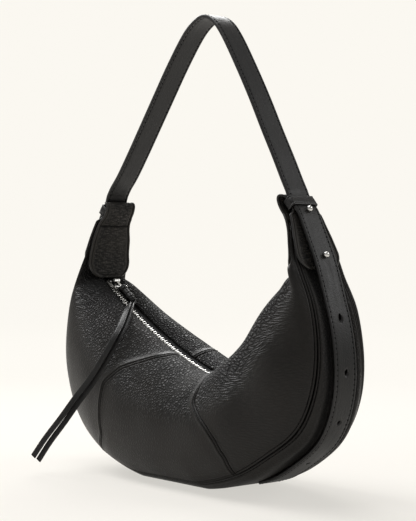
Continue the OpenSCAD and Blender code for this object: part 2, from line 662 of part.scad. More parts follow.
front_panel_left();
front_panel_centre();
front_panel_right();
back_panel_left();
back_panel_centre();
back_panel_right();
gusset_left();
gusset_right();
gusset_base();
base_board();
lining_front();
lining_back();
lining_gusset();
inner_pocket();
zip_tape_front();
zip_tape_back();
zip_teeth_front();
zip_teeth_back();
zip_stop_left();
zip_stop_right();
zip_slider();
zip_pull();
pull_wrap();
thong_upper_ply();
thong_lower_ply();
horn_stay_left();
horn_stay_right();
tab_left();
tab_right();
keeper_left();
keeper_right();
strap_tail_left();
strap_tail_right();
strap_bend_left();
strap_bend_right();
strap_arch();
studs_left();
studs_right();
stud_screws_left();
stud_screws_right();
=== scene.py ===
"""Half moon shoulder bag of black pebbled leather, standing on its base with the strap up.

Every shape is worked out in millimetres as a function on a grid and written in metres.
+X runs to the right horn, -Y is the front panel, +Z is up and Z = 0 is the floor.
"""

from __future__ import annotations

import logging
import math
from dataclasses import dataclass, field
from enum import Enum
from functools import partial
from typing import Callable, Iterable, Sequence

import bpy
import numpy as np
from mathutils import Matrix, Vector


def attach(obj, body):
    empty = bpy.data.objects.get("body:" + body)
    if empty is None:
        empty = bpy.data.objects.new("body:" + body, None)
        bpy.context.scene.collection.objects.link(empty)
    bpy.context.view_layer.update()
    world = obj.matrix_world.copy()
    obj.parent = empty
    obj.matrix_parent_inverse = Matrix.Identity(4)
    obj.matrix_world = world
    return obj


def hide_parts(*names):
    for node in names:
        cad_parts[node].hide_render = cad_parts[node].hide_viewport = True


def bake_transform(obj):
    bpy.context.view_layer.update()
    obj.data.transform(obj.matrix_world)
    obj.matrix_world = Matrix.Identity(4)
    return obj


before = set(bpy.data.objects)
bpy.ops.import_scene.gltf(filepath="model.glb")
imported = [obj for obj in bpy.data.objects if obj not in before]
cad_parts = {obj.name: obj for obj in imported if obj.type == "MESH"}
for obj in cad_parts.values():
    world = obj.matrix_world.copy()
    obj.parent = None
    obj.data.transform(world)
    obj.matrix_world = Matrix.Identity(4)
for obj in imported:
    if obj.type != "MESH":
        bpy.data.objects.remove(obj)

LOG = logging.getLogger("half_moon_bag")
Array = np.ndarray
Table = tuple[tuple[float, ...], ...]
AddNode = Callable[..., bpy.types.Node]
MM = 0.001
# direction of y, which runs across the zip, the horns and the strap
ACROSS = np.array([0.0, 1.0, 0.0])
# colour of the empty picture: the backdrop and the world, where the camera looks at them
CREAM = "#fdfaf3"


class Side(Enum):
    """The two large faces of the bag, with the sign of their y."""

    FRONT = -1
    BACK = 1


class Horn(Enum):
    """The two horns, with the sign of their x."""

    LEFT = -1
    RIGHT = 1


# Numbers and small curves


def ramp(value: Array, start: float, end: float) -> Array:
    """Rises from 0 at start to 1 at end as 3f^2 - 2f^3 of the share f of the way."""
    share = np.clip((np.asarray(value, float) - start) / (end - start), 0.0, 1.0)
    return share * share * (3.0 - 2.0 * share)


def bump_curve(distance: Array, centre: float, width: float) -> Array:
    """Bell of height 1: e to the power of minus the squared distance over the squared width."""
    return np.exp(-(((distance - centre) / width) ** 2))


def cubic(before: Array, start: Array, end: Array, after: Array, share: Array) -> Array:
    """Smooth cubic through start and end whose slopes follow their neighbours."""
    return 0.5 * (2.0 * start + (end - before) * share
                  + (2.0 * before - 5.0 * start + 4.0 * end - after) * share**2
                  + (3.0 * start - before - 3.0 * end + after) * share**3)


def smooth_line(points: Sequence[Sequence[float]], steps: int) -> Array:
    """Carries a smooth cubic through all points, with a number of steps from each to the next.

    Args:
        points: places that the line goes through.
        steps: pieces from each place to the next.

    Returns:
        The line's points.
    """
    p = np.asarray(points, float)
    last = len(p) - 1
    at = np.linspace(0.0, last, steps * last + 1)
    i = np.minimum(at.astype(int), last - 1)
    return cubic(p[np.maximum(i - 1, 0)], p[i], p[i + 1], p[np.minimum(i + 2, last)], (at - i)[:, None])


def lengths(points: Array) -> Array:
    """Length along a line from its first point to each of its points."""
    steps = np.linalg.norm(np.diff(points, axis=0), axis=1)
    return np.concatenate([[0.0], np.cumsum(steps)])


def resample(points: Array, at: Array, *others: Array) -> list[Array]:
    """Values of a line, and of arrays that go with it, at given lengths along it."""
    along = lengths(points)
    return [np.stack([np.interp(at, along, column) for column in values.T], axis=1)
            for values in (points, *others)]


def walked(grid: Array, axis: int) -> Array:
    """Length walked over a grid of points along one axis, 0 at its start."""
    steps = np.linalg.norm(np.diff(grid, axis=axis), axis=2)
    return np.insert(np.cumsum(steps, axis=axis), 0, 0.0, axis=axis)


def unit(vectors: Array) -> Array:
    """Vectors of length 1 in the same directions."""
    return vectors / np.maximum(np.linalg.norm(vectors, axis=-1, keepdims=True), 1e-9)


def graded(length: float, first: float, last: float, widest: float) -> Array:
    """Places from 0 to 1 that lie close together near the ends and apart in between.

    Args:
        length: real length that the places are spread over, in mm.
        first: spacing at the start, in mm.
        last: spacing at the end, in mm.
        widest: spacing in the middle, in mm.

    Returns:
        The places as shares of the length.
    """
    grow = 1.1
    at = [0.0]
    while at[-1] < length:
        done, left = at[-1], max(length - at[-1], 0.0)
        at.append(done + min(widest, first + done * (grow - 1.0), last + left * (grow - 1.0)))
    return np.array(at) / at[-1]


def soft_noise(points: Array, size: float, seed: int) -> Array:
    """Gentle unevenness between -1 and 1: a sum of ten sine waves of random directions.

    Args:
        points: places in mm, on any grid.
        size: typical width of a rise, in mm.
        seed: number that fixes the random directions.

    Returns:
        One value for each place.
    """
    random = np.random.default_rng(seed)
    total = np.zeros(points.shape[:-1])
    for _ in range(10):
        direction = unit(random.normal(size=3)) * math.pi / size * random.uniform(0.7, 1.4)
        total += np.sin(points @ direction + random.uniform(0.0, 2.0 * math.pi))
    return total / 5.0


# Meshes


@dataclass
class Shape:
    """Points in mm with their faces, and what goes with each point or face."""

    points: Array
    faces: list[Array]
    uv: Array | None = None
    values: dict[str, Array] = field(default_factory=dict)
    painted: Array | None = None


def quads(rows: int, columns: int, ring: bool = False, flip: bool = False) -> Array:
    """Corner numbers of the quads of a grid of points, in rows and columns.

    Args:
        rows: number of rows of points.
        columns: number of points in a row.
        ring: True where a row closes on itself.
        flip: True to turn the faces round.

    Returns:
        An (n, 4) array.
    """
    i, j = np.meshgrid(np.arange(rows - 1), np.arange(columns if ring else columns - 1), indexing="ij")
    k = (j + 1) % columns
    low, high = i * columns, (i + 1) * columns
    corners = np.stack([low + j, high + j, high + k, low + k], axis=-1).reshape(-1, 4)
    return corners[:, ::-1] if flip else corners


def joined(shapes: Iterable[Shape]) -> Shape:
    """One shape that holds all the given ones, without uv or values.

    Args:
        shapes: the shapes.

    Returns:
        The joined shape.
    """
    points, faces, start = [], [], 0
    for shape in shapes:
        points.append(shape.points.reshape(-1, 3))
        faces.extend(np.asarray(f) + start for f in shape.faces)
        start += len(points[-1])
    return Shape(np.concatenate(points), faces)


def copies(template: Shape, places: Array, along: Array, across: Array, up: Array) -> Shape:
    """The template repeated at many places, its x, y and z turned to three directions.

    Args:
        template: shape round the origin, in mm.
        places: (n, 3) places.
        along: (n, 3) directions of the template's x.
        across: (n, 3) directions of its y.
        up: (n, 3) directions of its z.

    Returns:
        All copies as one shape, computed as one array.
    """
    turned = sum(way[:, None] * template.points[None, :, k : k + 1]
                 for k, way in enumerate((along, across, up)))
    points = places[:, None] + turned
    shift = (np.arange(len(places)) * len(template.points))[:, None, None]
    faces = [(group[None] + shift).reshape(-1, group.shape[-1]) for group in template.faces]
    return Shape(points.reshape(-1, 3), faces)


def grid_normals(grid: Array, outward: Array) -> Array:
    """Unit normals of a grid: the cross product of its two slopes, turned to the outward side."""
    normals = unit(np.cross(np.gradient(grid, axis=0), np.gradient(grid, axis=1)))
    return -normals if np.sum(normals * outward) < 0.0 else normals


def turned_out(points: Array, faces: list[Array]) -> list[Array]:
    """The same faces, all turned round if the closed shape they make has a negative volume.

    Args:
        points: the shape's points.
        faces: groups of corner numbers.

    Returns:
        The groups, turned if need be.
    """
    volume = 0.0
    for group in faces:
        corners = points[group]
        for k in range(1, group.shape[1] - 1):
            volume += np.sum(corners[:, 0] * np.cross(corners[:, k], corners[:, k + 1]))
    return [group[:, ::-1] for group in faces] if volume < 0.0 else faces


def walled(outer: Array, inner: Array, uv: tuple[Array, Array] | None = None, **values: Array) -> Shape:
    """Closed sheet between an outer and an inner grid, which a rim of quads joins on all sides.

    Args:
        outer: grid of points of the face.
        inner: grid of the same size behind it.
        uv: grids of the two lengths that the patterns follow.
        values: grids of numbers by attribute name.

    Returns:
        The sheet, whose two faces share uv and values.
    """
    rows, columns = outer.shape[:2]
    count = rows * columns
    number = np.arange(count).reshape(rows, columns)
    rim = np.concatenate([number[:-1, 0], number[-1, :-1], number[:0:-1, -1], number[0, :0:-1]])
    after = np.roll(rim, -1)
    points = np.concatenate([outer.reshape(-1, 3), inner.reshape(-1, 3)])
    faces = [quads(rows, columns), quads(rows, columns, flip=True) + count,
             np.stack([rim, rim + count, after + count, after], axis=-1)]
    lies = None if uv is None else np.tile(np.stack(np.broadcast_arrays(*uv), -1).reshape(-1, 2), (2, 1))
    return Shape(points, turned_out(points, faces), lies,
                 {name: np.tile(grid.ravel(), 2) for name, grid in values.items()})


@dataclass
class Belt:
    """Flat band with rounded edges along a route.

    Its height depends on the distance to its border: a quarter round at the edge, a raised
    rim, channels where threads pull it in, and a slight crown over the middle.
    """

    route: Array
    across: Array
    half: Array
    thick: float
    channels: Sequence[tuple[float, float, float]] = ()
    middle: int = 9
    closed: bool = False
    edge: float = 0.75
    crown: float = 0.0
    rim: float = 0.0
    flap: bool = False

    def __post_init__(self) -> None:
        """Works out the directions and the half width along the route."""
        ahead = (np.roll(self.route, -1, axis=0) - np.roll(self.route, 1, axis=0) if self.closed
                 else np.gradient(self.route, axis=0))
        self.across = unit(np.broadcast_to(self.across, self.route.shape))
        self.normal = unit(np.cross(ahead, self.across))
        self.half = np.broadcast_to(np.asarray(self.half, float), len(self.route)).copy()
        self.along = lengths(self.route)

    def offsets(self) -> Array:
        """Distances from the edge at which the band has a line of points.

        Returns:
            The distances, each once and rising.
        """
        near = [0.0, 0.08, 0.3, 0.7, 1.2]
        for place, width, _ in self.channels:
            near += [place + step * width for step in (-1.4, -0.6, 0.0, 0.6, 1.4)]
        return np.unique(np.round([n for n in near if n >= 0.0], 2))

    def border_distance(self, sideways: Array) -> Array:
        """Distance of each point of the flat band to its border, square to the border.

        The border is a chain of short straight pieces: along the edge, and across both ends.

        Args:
            sideways: distance of each point from the middle line, one row per place.

        Returns:
            The distances.
        """
        if not self.flap:
            return self.half[:, None] - np.abs(sideways)
        s, h = self.along, self.half
        chain = np.concatenate([[[s[0], 0.0]], np.stack([s, h], 1), [[s[-1], 0.0]]])
        start, step = chain[:-1], np.diff(chain, axis=0)
        spot = np.stack([np.broadcast_to(s[:, None], sideways.shape), np.abs(sideways)], -1)
        gap = spot[:, :, None] - start
        share = np.clip((gap * step).sum(-1) / np.maximum((step**2).sum(-1), 1e-9), 0.0, 1.0)
        return np.linalg.norm(gap - share[..., None] * step, axis=-1).min(axis=-1)

    def height(self, deep: Array) -> Array:
        """Height of the face over the middle plane at a distance from the border.

        Args:
            deep: distances from the border.

        Returns:
            The heights.
        """
        radius = min(self.edge, self.thick / 2.0)
        round_off = 1.0 - np.minimum(deep / radius, 1.0)
        height = np.sqrt(np.maximum(1.0 - round_off**2, 0.0)) * radius + self.thick / 2.0 - radius
        height = np.where(deep < 0.04, 0.0, height)
        for place, width, depth in self.channels:
            height = height - depth * bump_curve(deep, place, width)
            height = height + self.rim * bump_curve(deep, place * 0.5, place * 0.28)
        return height + self.crown * ramp(deep, 2.0, 14.0)

    def build(self) -> Shape:
        """Makes the rings round the band and joins them, with ends that close it.

        Returns:
            The closed band; its cut edges are marked as painted.
        """
        near = self.offsets()
        inside = np.linspace(-1.0, 1.0, self.middle + 2)[1:-1]
        core = np.maximum(self.half - near[-1], 0.5)[:, None]
        scale = np.minimum((self.half[:, None] - core) / near[-1], 1.0)
        left = near[None] * scale - self.half[:, None]
        sideways = np.concatenate([left, inside[None] * core, -left[:, ::-1]], axis=1)
        height = self.height(self.border_distance(sideways))
        ring_across = np.concatenate([sideways, sideways[:, -2:0:-1]], axis=1)
        ring_height = np.concatenate([height, -height[:, -2:0:-1]], axis=1)
        points = (self.route[:, None] + self.across[:, None] * ring_across[..., None]
                  + self.normal[:, None] * ring_height[..., None])
        rows, columns = points.shape[:2]
        along = self.along[:, None] + 0.0 * ring_across
        faces = [quads(rows, columns, ring=True)]
        border = np.abs(np.abs(ring_across) - self.half[:, None]) < 0.6
        painted = [border[:-1].reshape(-1)]
        if self.closed:
            wrap = np.arange(columns)
            last = wrap + (rows - 1) * columns
            faces.append(np.stack([last, wrap, np.roll(wrap, -1), np.roll(last, -1)], -1))
            painted.append(border[-1])
        else:
            # each end is closed by quads from the top line of points to the line below it
            n = sideways.shape[1]
            top = np.arange(n)
            low = np.concatenate([[0], np.arange(columns - 1, n - 1, -1), [n - 1]])
            for start, turn in ((0, 1), ((rows - 1) * columns, -1)):
                cap = np.stack([top[:-1], top[1:], low[1:], low[:-1]], -1)[1:-1]
                tips = np.array([[top[0], top[1], low[1]], [top[-2], top[-1], low[-2]]])
                faces += [(cap + start)[:, ::turn], (tips + start)[:, ::turn]]
                painted += [np.ones(len(cap), bool), np.ones(2, bool)]
        flat = points.reshape(-1, 3)
        uv = np.stack([along, ring_across], axis=-1).reshape(-1, 2)
        return Shape(flat, turned_out(flat, faces), uv, painted=np.concatenate(painted))

    def spots(self, along: Array, sideways: Array, inset: float, top: bool) -> tuple[Array, Array]:
        """Places on the band's face, with its outward normals.

        Args:
            along: lengths along the route.
            sideways: distances from the middle line.
            inset: distance of the places from the border.
            top: True for the face on the normal's side.

        Returns:
            The places and the normals.
        """
        face = 1.0 if top else -1.0
        route, across, normal = resample(self.route, along, self.across, self.normal)
        rise = float(self.height(np.array(inset)))
        return route + across * sideways[:, None] + normal * face * rise, unit(normal) * face

    def edge_line(self, inset: float, top: bool, right: bool) -> tuple[Array, Array]:
        """Line on a face at a distance from one long edge, with its normals."""
        side = (self.half - inset) * (1.0 if right else -1.0)
        return self.spots(self.along, side, inset, top)

    def border_line(self, inset: float, start: float, end: float) -> tuple[Array, Array]:
        """Line on the top face that follows the border round one end of the band.

        The border is moved inward along its own normal by the inset.

        Args:
            inset: distance from the border.
            start: length along the route where the line starts and ends.
            end: length of the band's end that it goes round.

        Returns:
            The line's places and normals.
        """
        way = np.linspace(start, end, 90)
        half = np.interp(way, self.along, self.half)
        turn = np.linspace(half[-1], -half[-1], 30)[1:-1]
        flat = np.concatenate([np.stack([way, half], 1), np.stack([0 * turn + end, turn], 1),
                               np.stack([way, -half], 1)[::-1]])
        flat = resample(flat, np.arange(0.0, lengths(flat)[-1], 1.0))[0]
        ahead = unit(np.gradient(flat, axis=0))
        inward = np.stack([-ahead[:, 1], ahead[:, 0]], 1) * (-1.0 if end > start else 1.0)
        flat = flat + inward * inset
        soft = np.ones(5) / 5.0
        flat = np.stack([np.convolve(np.pad(flat[:, k], 2, mode="edge"), soft, "valid")
                         for k in range(2)], 1)
        return self.spots(flat[:, 0], flat[:, 1], inset, True)


def revolved(profile: Sequence[tuple[float, float]], base: Array, axis: Array, sides: int) -> Shape:
    """Turned shape: a profile of (radius, height) carried round an axis, closed at both poles.

    Args:
        profile: places from one pole to the other; the first and last radius are 0.
        base: place of height 0 on the axis.
        axis: direction of the axis.
        sides: number of faces round it.

    Returns:
        The closed shape.
    """
    axis = unit(np.asarray(axis, float))
    helper = ACROSS if abs(axis[1]) < 0.9 else np.array([1.0, 0.0, 0.0])
    first = unit(np.cross(axis, helper))
    second = np.cross(axis, first)
    turn = np.linspace(0.0, 2.0 * math.pi, sides, endpoint=False)
    round_it = np.cos(turn)[:, None] * first + np.sin(turn)[:, None] * second
    inner = np.array(profile[1:-1], float)
    rings = base + inner[:, 1, None, None] * axis + inner[:, 0, None, None] * round_it
    points = np.concatenate([rings.reshape(-1, 3), [base + profile[0][1] * axis],
                             [base + profile[-1][1] * axis]])
    count = len(inner)
    ring = np.arange(sides)
    low = np.stack([np.roll(ring, -1), ring, np.full(sides, count * sides)], -1)
    high = np.stack([ring, np.roll(ring, -1), np.full(sides, count * sides + 1)], -1)
    high[:, :2] += (count - 1) * sides
    faces = [quads(count, sides, ring=True), low, high]
    return Shape(points, turned_out(points, faces))


@dataclass
class Sewing:
    """Rows of stitches of one kind, which are written as one piece of thread and one of holes."""

    shop: Workshop
    label: str
    slot: str
    pitch: float
    length: float
    thick: float
    body: str = "bag"
    made: list[tuple[Shape, Shape]] = field(default_factory=list)

    def row(self, points: Array, normals: Array) -> None:
        """Adds a row of stitches along a line on the leather, with its outward normals.

        A stitch is a six-sided grain, thick in the middle, whose ends sink into the leather. A
        needle hole is a small near-black six-sided cone, its flat top just above the face, at the end of each
        stitch: painted shade of the hole.

        Args:
            points: line that the stitches follow.
            normals: outward normals along it.
        """
        total = lengths(points)[-1]
        count = max(2, int(total / self.pitch))
        at = (np.arange(count) + 0.5) * total / count
        near = np.clip(at[:, None] + np.array([-0.5, 0.5]), 0.0, total)
        place, normal = resample(points, at, normals)
        ahead = resample(points, near[:, 1])[0] - resample(points, near[:, 0])[0]
        normal, along = unit(normal), unit(ahead)
        across = unit(np.cross(normal, along))
        share = np.linspace(-1.0, 1.0, 5)[:, None]
        ring = np.arange(6)
        after = np.roll(ring, -1)
        c, s = np.cos(ring * math.pi / 3.0), np.sin(ring * math.pi / 3.0)
        radius = self.thick / 2.0 * np.sqrt(np.maximum(1.0 - (share * 0.93) ** 2, 0.0))
        grain = np.stack(np.broadcast_arrays(share * self.length / 2.0, radius * c,
                                             0.1 - 0.32 * share**2 + 0.8 * radius * s), -1).reshape(-1, 3)
        faces = turned_out(grain, [quads(5, 6, ring=True), np.array([ring, 29 - ring])])
        hollow = np.concatenate([np.stack([0.55 * c, 0.42 * s, 0.0 * c + 0.05], axis=-1),
                                 [[0.0, 0.0, 0.05], [0.0, 0.0, -0.3]]])
        sides = turned_out(hollow, [np.stack([ring, after, np.full(6, 6)], -1),
                                    np.stack([after, ring, np.full(6, 7)], -1)])
        self.made.append((copies(Shape(grain, faces), place, along, across, normal), copies(
            Shape(hollow, sides), place + along * self.pitch / 2.0, along, across, normal)))

    def build(self) -> list[bpy.types.Object]:
        """Writes the thread and the needle holes."""
        return [self.shop.piece(f"{self.label}_{kind}", joined(row[k] for row in self.made), finish,
                                self.slot, body=self.body)
                for k, (kind, finish) in enumerate((("stitches", "thread"), ("needle_holes", "hole")))]


# Finishes


def colour(text: str) -> tuple[float, float, float, float]:
    """Turns an sRGB hex value into the linear colour that a shader takes.

    Args:
        text: value such as #1b1917.

    Returns:
        Red, green, blue and alpha.
    """
    parts = [int(text[k : k + 2], 16) / 255.0 for k in (1, 3, 5)]
    linear = [c / 12.92 if c <= 0.04045 else ((c + 0.055) / 1.055) ** 2.4 for c in parts]
    return (*linear, 1.0)


def add_node(tree: bpy.types.NodeTree, kind: str, inputs: dict | None = None,
             stops: Sequence[tuple[float, tuple[float, ...]]] = (), **settings: object) -> bpy.types.Node:
    """Adds a node, sets its options, and sets or links its inputs.

    Args:
        tree: node tree of a material or the world.
        kind: the node's type, as Blender names it after "ShaderNode".
        inputs: input name or number to a value, or to a (node, output) pair that feeds it.
        stops: places and colours, where the node has a colour ramp.
        settings: options of the node by name.

    Returns:
        The new node.
    """
    node = tree.nodes.new("ShaderNode" + kind)
    for name, value in settings.items():
        setattr(node, name, value)
    for key, value in (inputs or {}).items():
        if isinstance(value, tuple) and len(value) == 2 and isinstance(value[0], bpy.types.Node):
            tree.links.new(value[0].outputs[value[1]], node.inputs[key])
        else:
            node.inputs[key].default_value = value
    for k, (place, value) in enumerate(stops):
        element = node.color_ramp.elements[k]
        element.position, element.color = place, value
    return node


@dataclass(frozen=True)
class Finish:
    """Material of one finish, which each kind fills with its own surface."""

    name: str

    def surface(self, add: AddNode) -> bpy.types.Node:
        """Shader of the finish, made by each kind."""
        raise NotImplementedError

    def material(self) -> bpy.types.Material:
        """Makes the material and links its surface to the output.

        Returns:
            The new material.
        """
        made = bpy.data.materials.new(self.name)
        made.use_nodes = True
        made.node_tree.nodes.clear()
        add = partial(add_node, made.node_tree)
        out = add("OutputMaterial")
        made.node_tree.links.new(self.surface(add).outputs[0], out.inputs[0])
        return made


@dataclass(frozen=True)
class PebbledLeather(Finish):
    """Full-grain calf leather, drum-milled: soft black hide whose grain has drawn up into pebbles.

    The pebbles catch the light on slack, upward surfaces and are nearly flat where the hide is
    drawn tight. Along the horns they are drawn out into fine creases across the horn.
    """

    name: str = "pebbled calf leather"
    # painted shade: colour of the pebbles' valleys and of the crease lines
    valley_shade: str = "#040404"
    face: str = "#1b1917"
    worn: str = "#24211e"
    # painted shade: colour of the grooves along the seams and of the stitch channels
    groove: str = "#030303"
    roughness: float = 0.38
    specular: float = 0.25
    pebble_mm: float = 2.9
    crease_mm: tuple[float, float] = (11.0, 2.5)
    drift_mm: float = 14.0
    pore_mm: float = 0.8
    patch_mm: float = 45.0
    relief_mm: float = 0.75
    dome: float = 0.42

    def surface(self, add: AddNode) -> bpy.types.Node:
        """Shader with the grain, crease and wear patterns.

        Args:
            add: add_node for the material's own tree.

        Returns:
            The shader.
        """
        place = add("TexCoord")
        flow = add("Mapping", {0: (place, "UV"), "Scale": (
            1.0 / (self.crease_mm[0] * MM), 1.0 / (self.crease_mm[1] * MM), 1.0)})
        drift = add("TexNoise", {"Vector": (place, "Object"), "Scale": 1.0 / (self.drift_mm * MM),
                                 "Detail": 1.0})
        bent = add("VectorMath", {0: (drift, "Color"), 1: (0.8, 1.3, 0.0)}, operation="MULTIPLY")
        route = add("VectorMath", {0: (flow, 0), 1: (bent, 0)}, operation="ADD")
        pebble = add("TexVoronoi", {"Vector": (place, "Object"), "Scale": 1.0 / (self.pebble_mm * MM),
                                    "Randomness": 0.95}, feature="DISTANCE_TO_EDGE")
        crease = add("TexVoronoi", {"Vector": (route, 0), "Scale": 1.0}, feature="DISTANCE_TO_EDGE",
                     voronoi_dimensions="2D")
        grain, draw, groove = ((add("Attribute", attribute_name=name), "Fac")
                               for name in ("grain", "crease", "groove"))
        # a pebble is a dome that falls to a narrow valley: its height follows the distance to
        # the cell's edge and levels off
        domes = [add("MapRange", {"Value": (cells, "Distance"), "From Min": 0.0, "From Max": self.dome,
                                  "To Min": 1.0, "To Max": 0.0}, interpolation_type="SMOOTHSTEP")
                 for cells in (pebble, crease)]
        heights = [add("Math", {0: (dome, 0), 1: share}, operation="MULTIPLY")
                   for dome, share in zip(domes, (grain, draw))]
        both = add("Math", {0: (heights[0], 0), 1: (heights[1], 0)}, operation="ADD")
        pores = add("TexNoise", {"Vector": (place, "Object"), "Scale": 1.0 / (self.pore_mm * MM),
                                 "Detail": 2.0})
        fine = add("Math", {0: (pores, "Fac"), 1: 0.16}, operation="MULTIPLY")
        relief = add("Math", {0: (fine, 0), 1: (both, 0)}, operation="SUBTRACT")
        bump = add("Bump", {"Height": (relief, 0), "Strength": 1.0, "Distance": self.relief_mm * MM})
        wide = add("TexNoise", {"Vector": (place, "Object"), "Scale": 1.0 / (self.patch_mm * MM),
                                "Detail": 3.0})
        # painted shade: the colour darkens from the pebble tops into the valleys and along the crease lines
        hollow = add("ValToRGB", {"Fac": (both, 0)}, [(0.05, colour(self.face)), (0.75, colour(self.valley_shade))])
        patch = add("ValToRGB", {"Fac": (wide, "Fac")}, [(0.40, (0.0, 0.0, 0.0, 1.0)),
                                                         (0.72, (0.55, 0.55, 0.55, 1.0))])
        tone = add("Mix", {0: (patch, 0), 6: (hollow, 0), 7: colour(self.worn)}, data_type="RGBA")
        # painted shade: the grooves along the seams and the stitch channels are coloured near black, and they
        # are made duller
        shaded = add("Mix", {0: groove, 6: (tone, 2), 7: colour(self.groove)}, data_type="RGBA")
        satin = add("MapRange", {"Value": (wide, "Fac"), "From Min": 0.3, "From Max": 0.7,
                                 "To Min": self.roughness - 0.05, "To Max": self.roughness + 0.08})
        dull = add("Math", {0: (both, 0), 1: 0.4, 2: (satin, 0)}, operation="MULTIPLY_ADD")
        rough = add("Math", {0: groove, 1: 0.5, 2: (dull, 0)}, operation="MULTIPLY_ADD")
        return add("BsdfPrincipled", {
            "Base Color": (shaded, 2), "Roughness": (rough, 0), "Normal": (bump, 0), "IOR": 1.5,
            "Specular IOR Level": self.specular})


@dataclass(frozen=True)
class StrapLeather(Finish):
    """Corrected bridle leather, rolled and waxed: firm black strap hide with a fine, even grain.

    It looks smoother and a little glossier than the body, with faint lengthwise streaks.
    """

    name: str = "smooth strap leather"
    face: str = "#0e0d0d"
    worn: str = "#181716"
    roughness: float = 0.43
    specular: float = 0.36
    grain_mm: float = 1.1
    streak_mm: tuple[float, float] = (30.0, 4.0)

    def surface(self, add: AddNode) -> bpy.types.Node:
        """Shader with a fine grain and soft streaks.

        Args:
            add: add_node for the material's own tree.

        Returns:
            The shader.
        """
        place = add("TexCoord")
        streaks = add("Mapping", {0: (place, "UV"), "Scale": (
            1.0 / (self.streak_mm[0] * MM), 1.0 / (self.streak_mm[1] * MM), 1.0)})
        # the mapping already holds the streaks' real size
        streak = add("TexNoise", {"Vector": (streaks, 0), "Scale": 1.0, "Detail": 3.0})
        grain = add("TexVoronoi", {"Vector": (place, "Object"), "Scale": 1.0 / (self.grain_mm * MM)},
                    feature="SMOOTH_F1")
        relief = add("Math", {0: (grain, "Distance"), 1: -1.0, 2: (streak, "Fac")},
                     operation="MULTIPLY_ADD")
        bump = add("Bump", {"Height": (relief, 0), "Strength": 0.5, "Distance": 0.3 * MM})
        tone = add("ValToRGB", {"Fac": (streak, "Fac")}, [(0.35, colour(self.face)),
                                                          (0.75, colour(self.worn))])
        rough = add("MapRange", {"Value": (streak, "Fac"), "From Min": 0.3, "From Max": 0.7,
                                 "To Min": self.roughness - 0.06, "To Max": self.roughness + 0.06})
        return add("BsdfPrincipled", {
            "Base Color": (tone, 0), "Roughness": (rough, 0), "Normal": (bump, 0), "IOR": 1.5,
            "Specular IOR Level": self.specular})


@dataclass(frozen=True)
class PlainFinish(Finish):
    """A finish of one colour with a fine surface pattern.

    It serves the edge paint, the bonded thread, the needle holes, the pressed board and the
    plated metal, whose words stand at the places where they are made.
    """

    low: str
    high: str
    roughness: float
    metallic: float = 0.0
    pattern_mm: float = 2.0
    depth_mm: float = 0.05
    change: float = 0.05
    specular: float = 0.5

    def surface(self, add: AddNode) -> bpy.types.Node:
        """Shader with one noise that varies colour, roughness and height.

        Args:
            add: add_node for the material's own tree.

        Returns:
            The shader.
        """
        place = add("TexCoord")
        noise = add("TexNoise", {"Vector": (place, "Object"), "Scale": 1.0 / (self.pattern_mm * MM),
                                 "Detail": 3.0})
        tone = add("ValToRGB", {"Fac": (noise, "Fac")}, [(0.35, colour(self.low)), (0.65, colour(self.high))])
        rough = add("MapRange", {"Value": (noise, "Fac"), "From Min": 0.3, "From Max": 0.7,
                                 "To Min": self.roughness - self.change,
                                 "To Max": self.roughness + self.change})
        bump = add("Bump", {"Height": (noise, "Fac"), "Strength": 0.4, "Distance": self.depth_mm * MM})
        return add("BsdfPrincipled", {
            "Base Color": (tone, 0), "Roughness": (rough, 0), "Normal": (bump, 0),
            "Metallic": self.metallic, "IOR": 1.5, "Specular IOR Level": self.specular})


@dataclass(frozen=True)
class WovenCloth(Finish):
    """Twill-woven polyester or cotton: crossing threads that show as fine ribs.

    The ribs follow the piece's own uv map, which holds real lengths.
    """

    thread: str
    gap: str
    rib_mm: float
    slant: float
    roughness: float = 0.85

    def surface(self, add: AddNode) -> bpy.types.Node:
        """Shader with two crossing waves of the thread spacing.

        Args:
            add: add_node for the material's own tree.

        Returns:
            The shader.
        """
        place = add("TexCoord")
        turned = add("Mapping", {0: (place, "UV"), "Rotation": (0.0, 0.0, self.slant)})
        # a Wave texture repeats each pi / 10 of its length at scale 1
        scale = 1.0 / (self.rib_mm * MM) / 3.183
        ribs, weft = (add("TexWave", {"Vector": (turned, 0), "Scale": scale}, bands_direction=way)
                      for way in ("X", "Y"))
        both = add("Math", {0: (ribs, "Fac"), 1: (weft, "Fac")}, operation="MULTIPLY")
        tone = add("ValToRGB", {"Fac": (both, 0)}, [(0.0, colour(self.gap)), (0.6, colour(self.thread))])
        bump = add("Bump", {"Height": (both, 0), "Strength": 0.6, "Distance": 0.15 * MM})
        return add("BsdfPrincipled", {
            "Base Color": (tone, 0), "Roughness": self.roughness, "Normal": (bump, 0),
            "Sheen Weight": 0.2, "Sheen Roughness": 0.5})


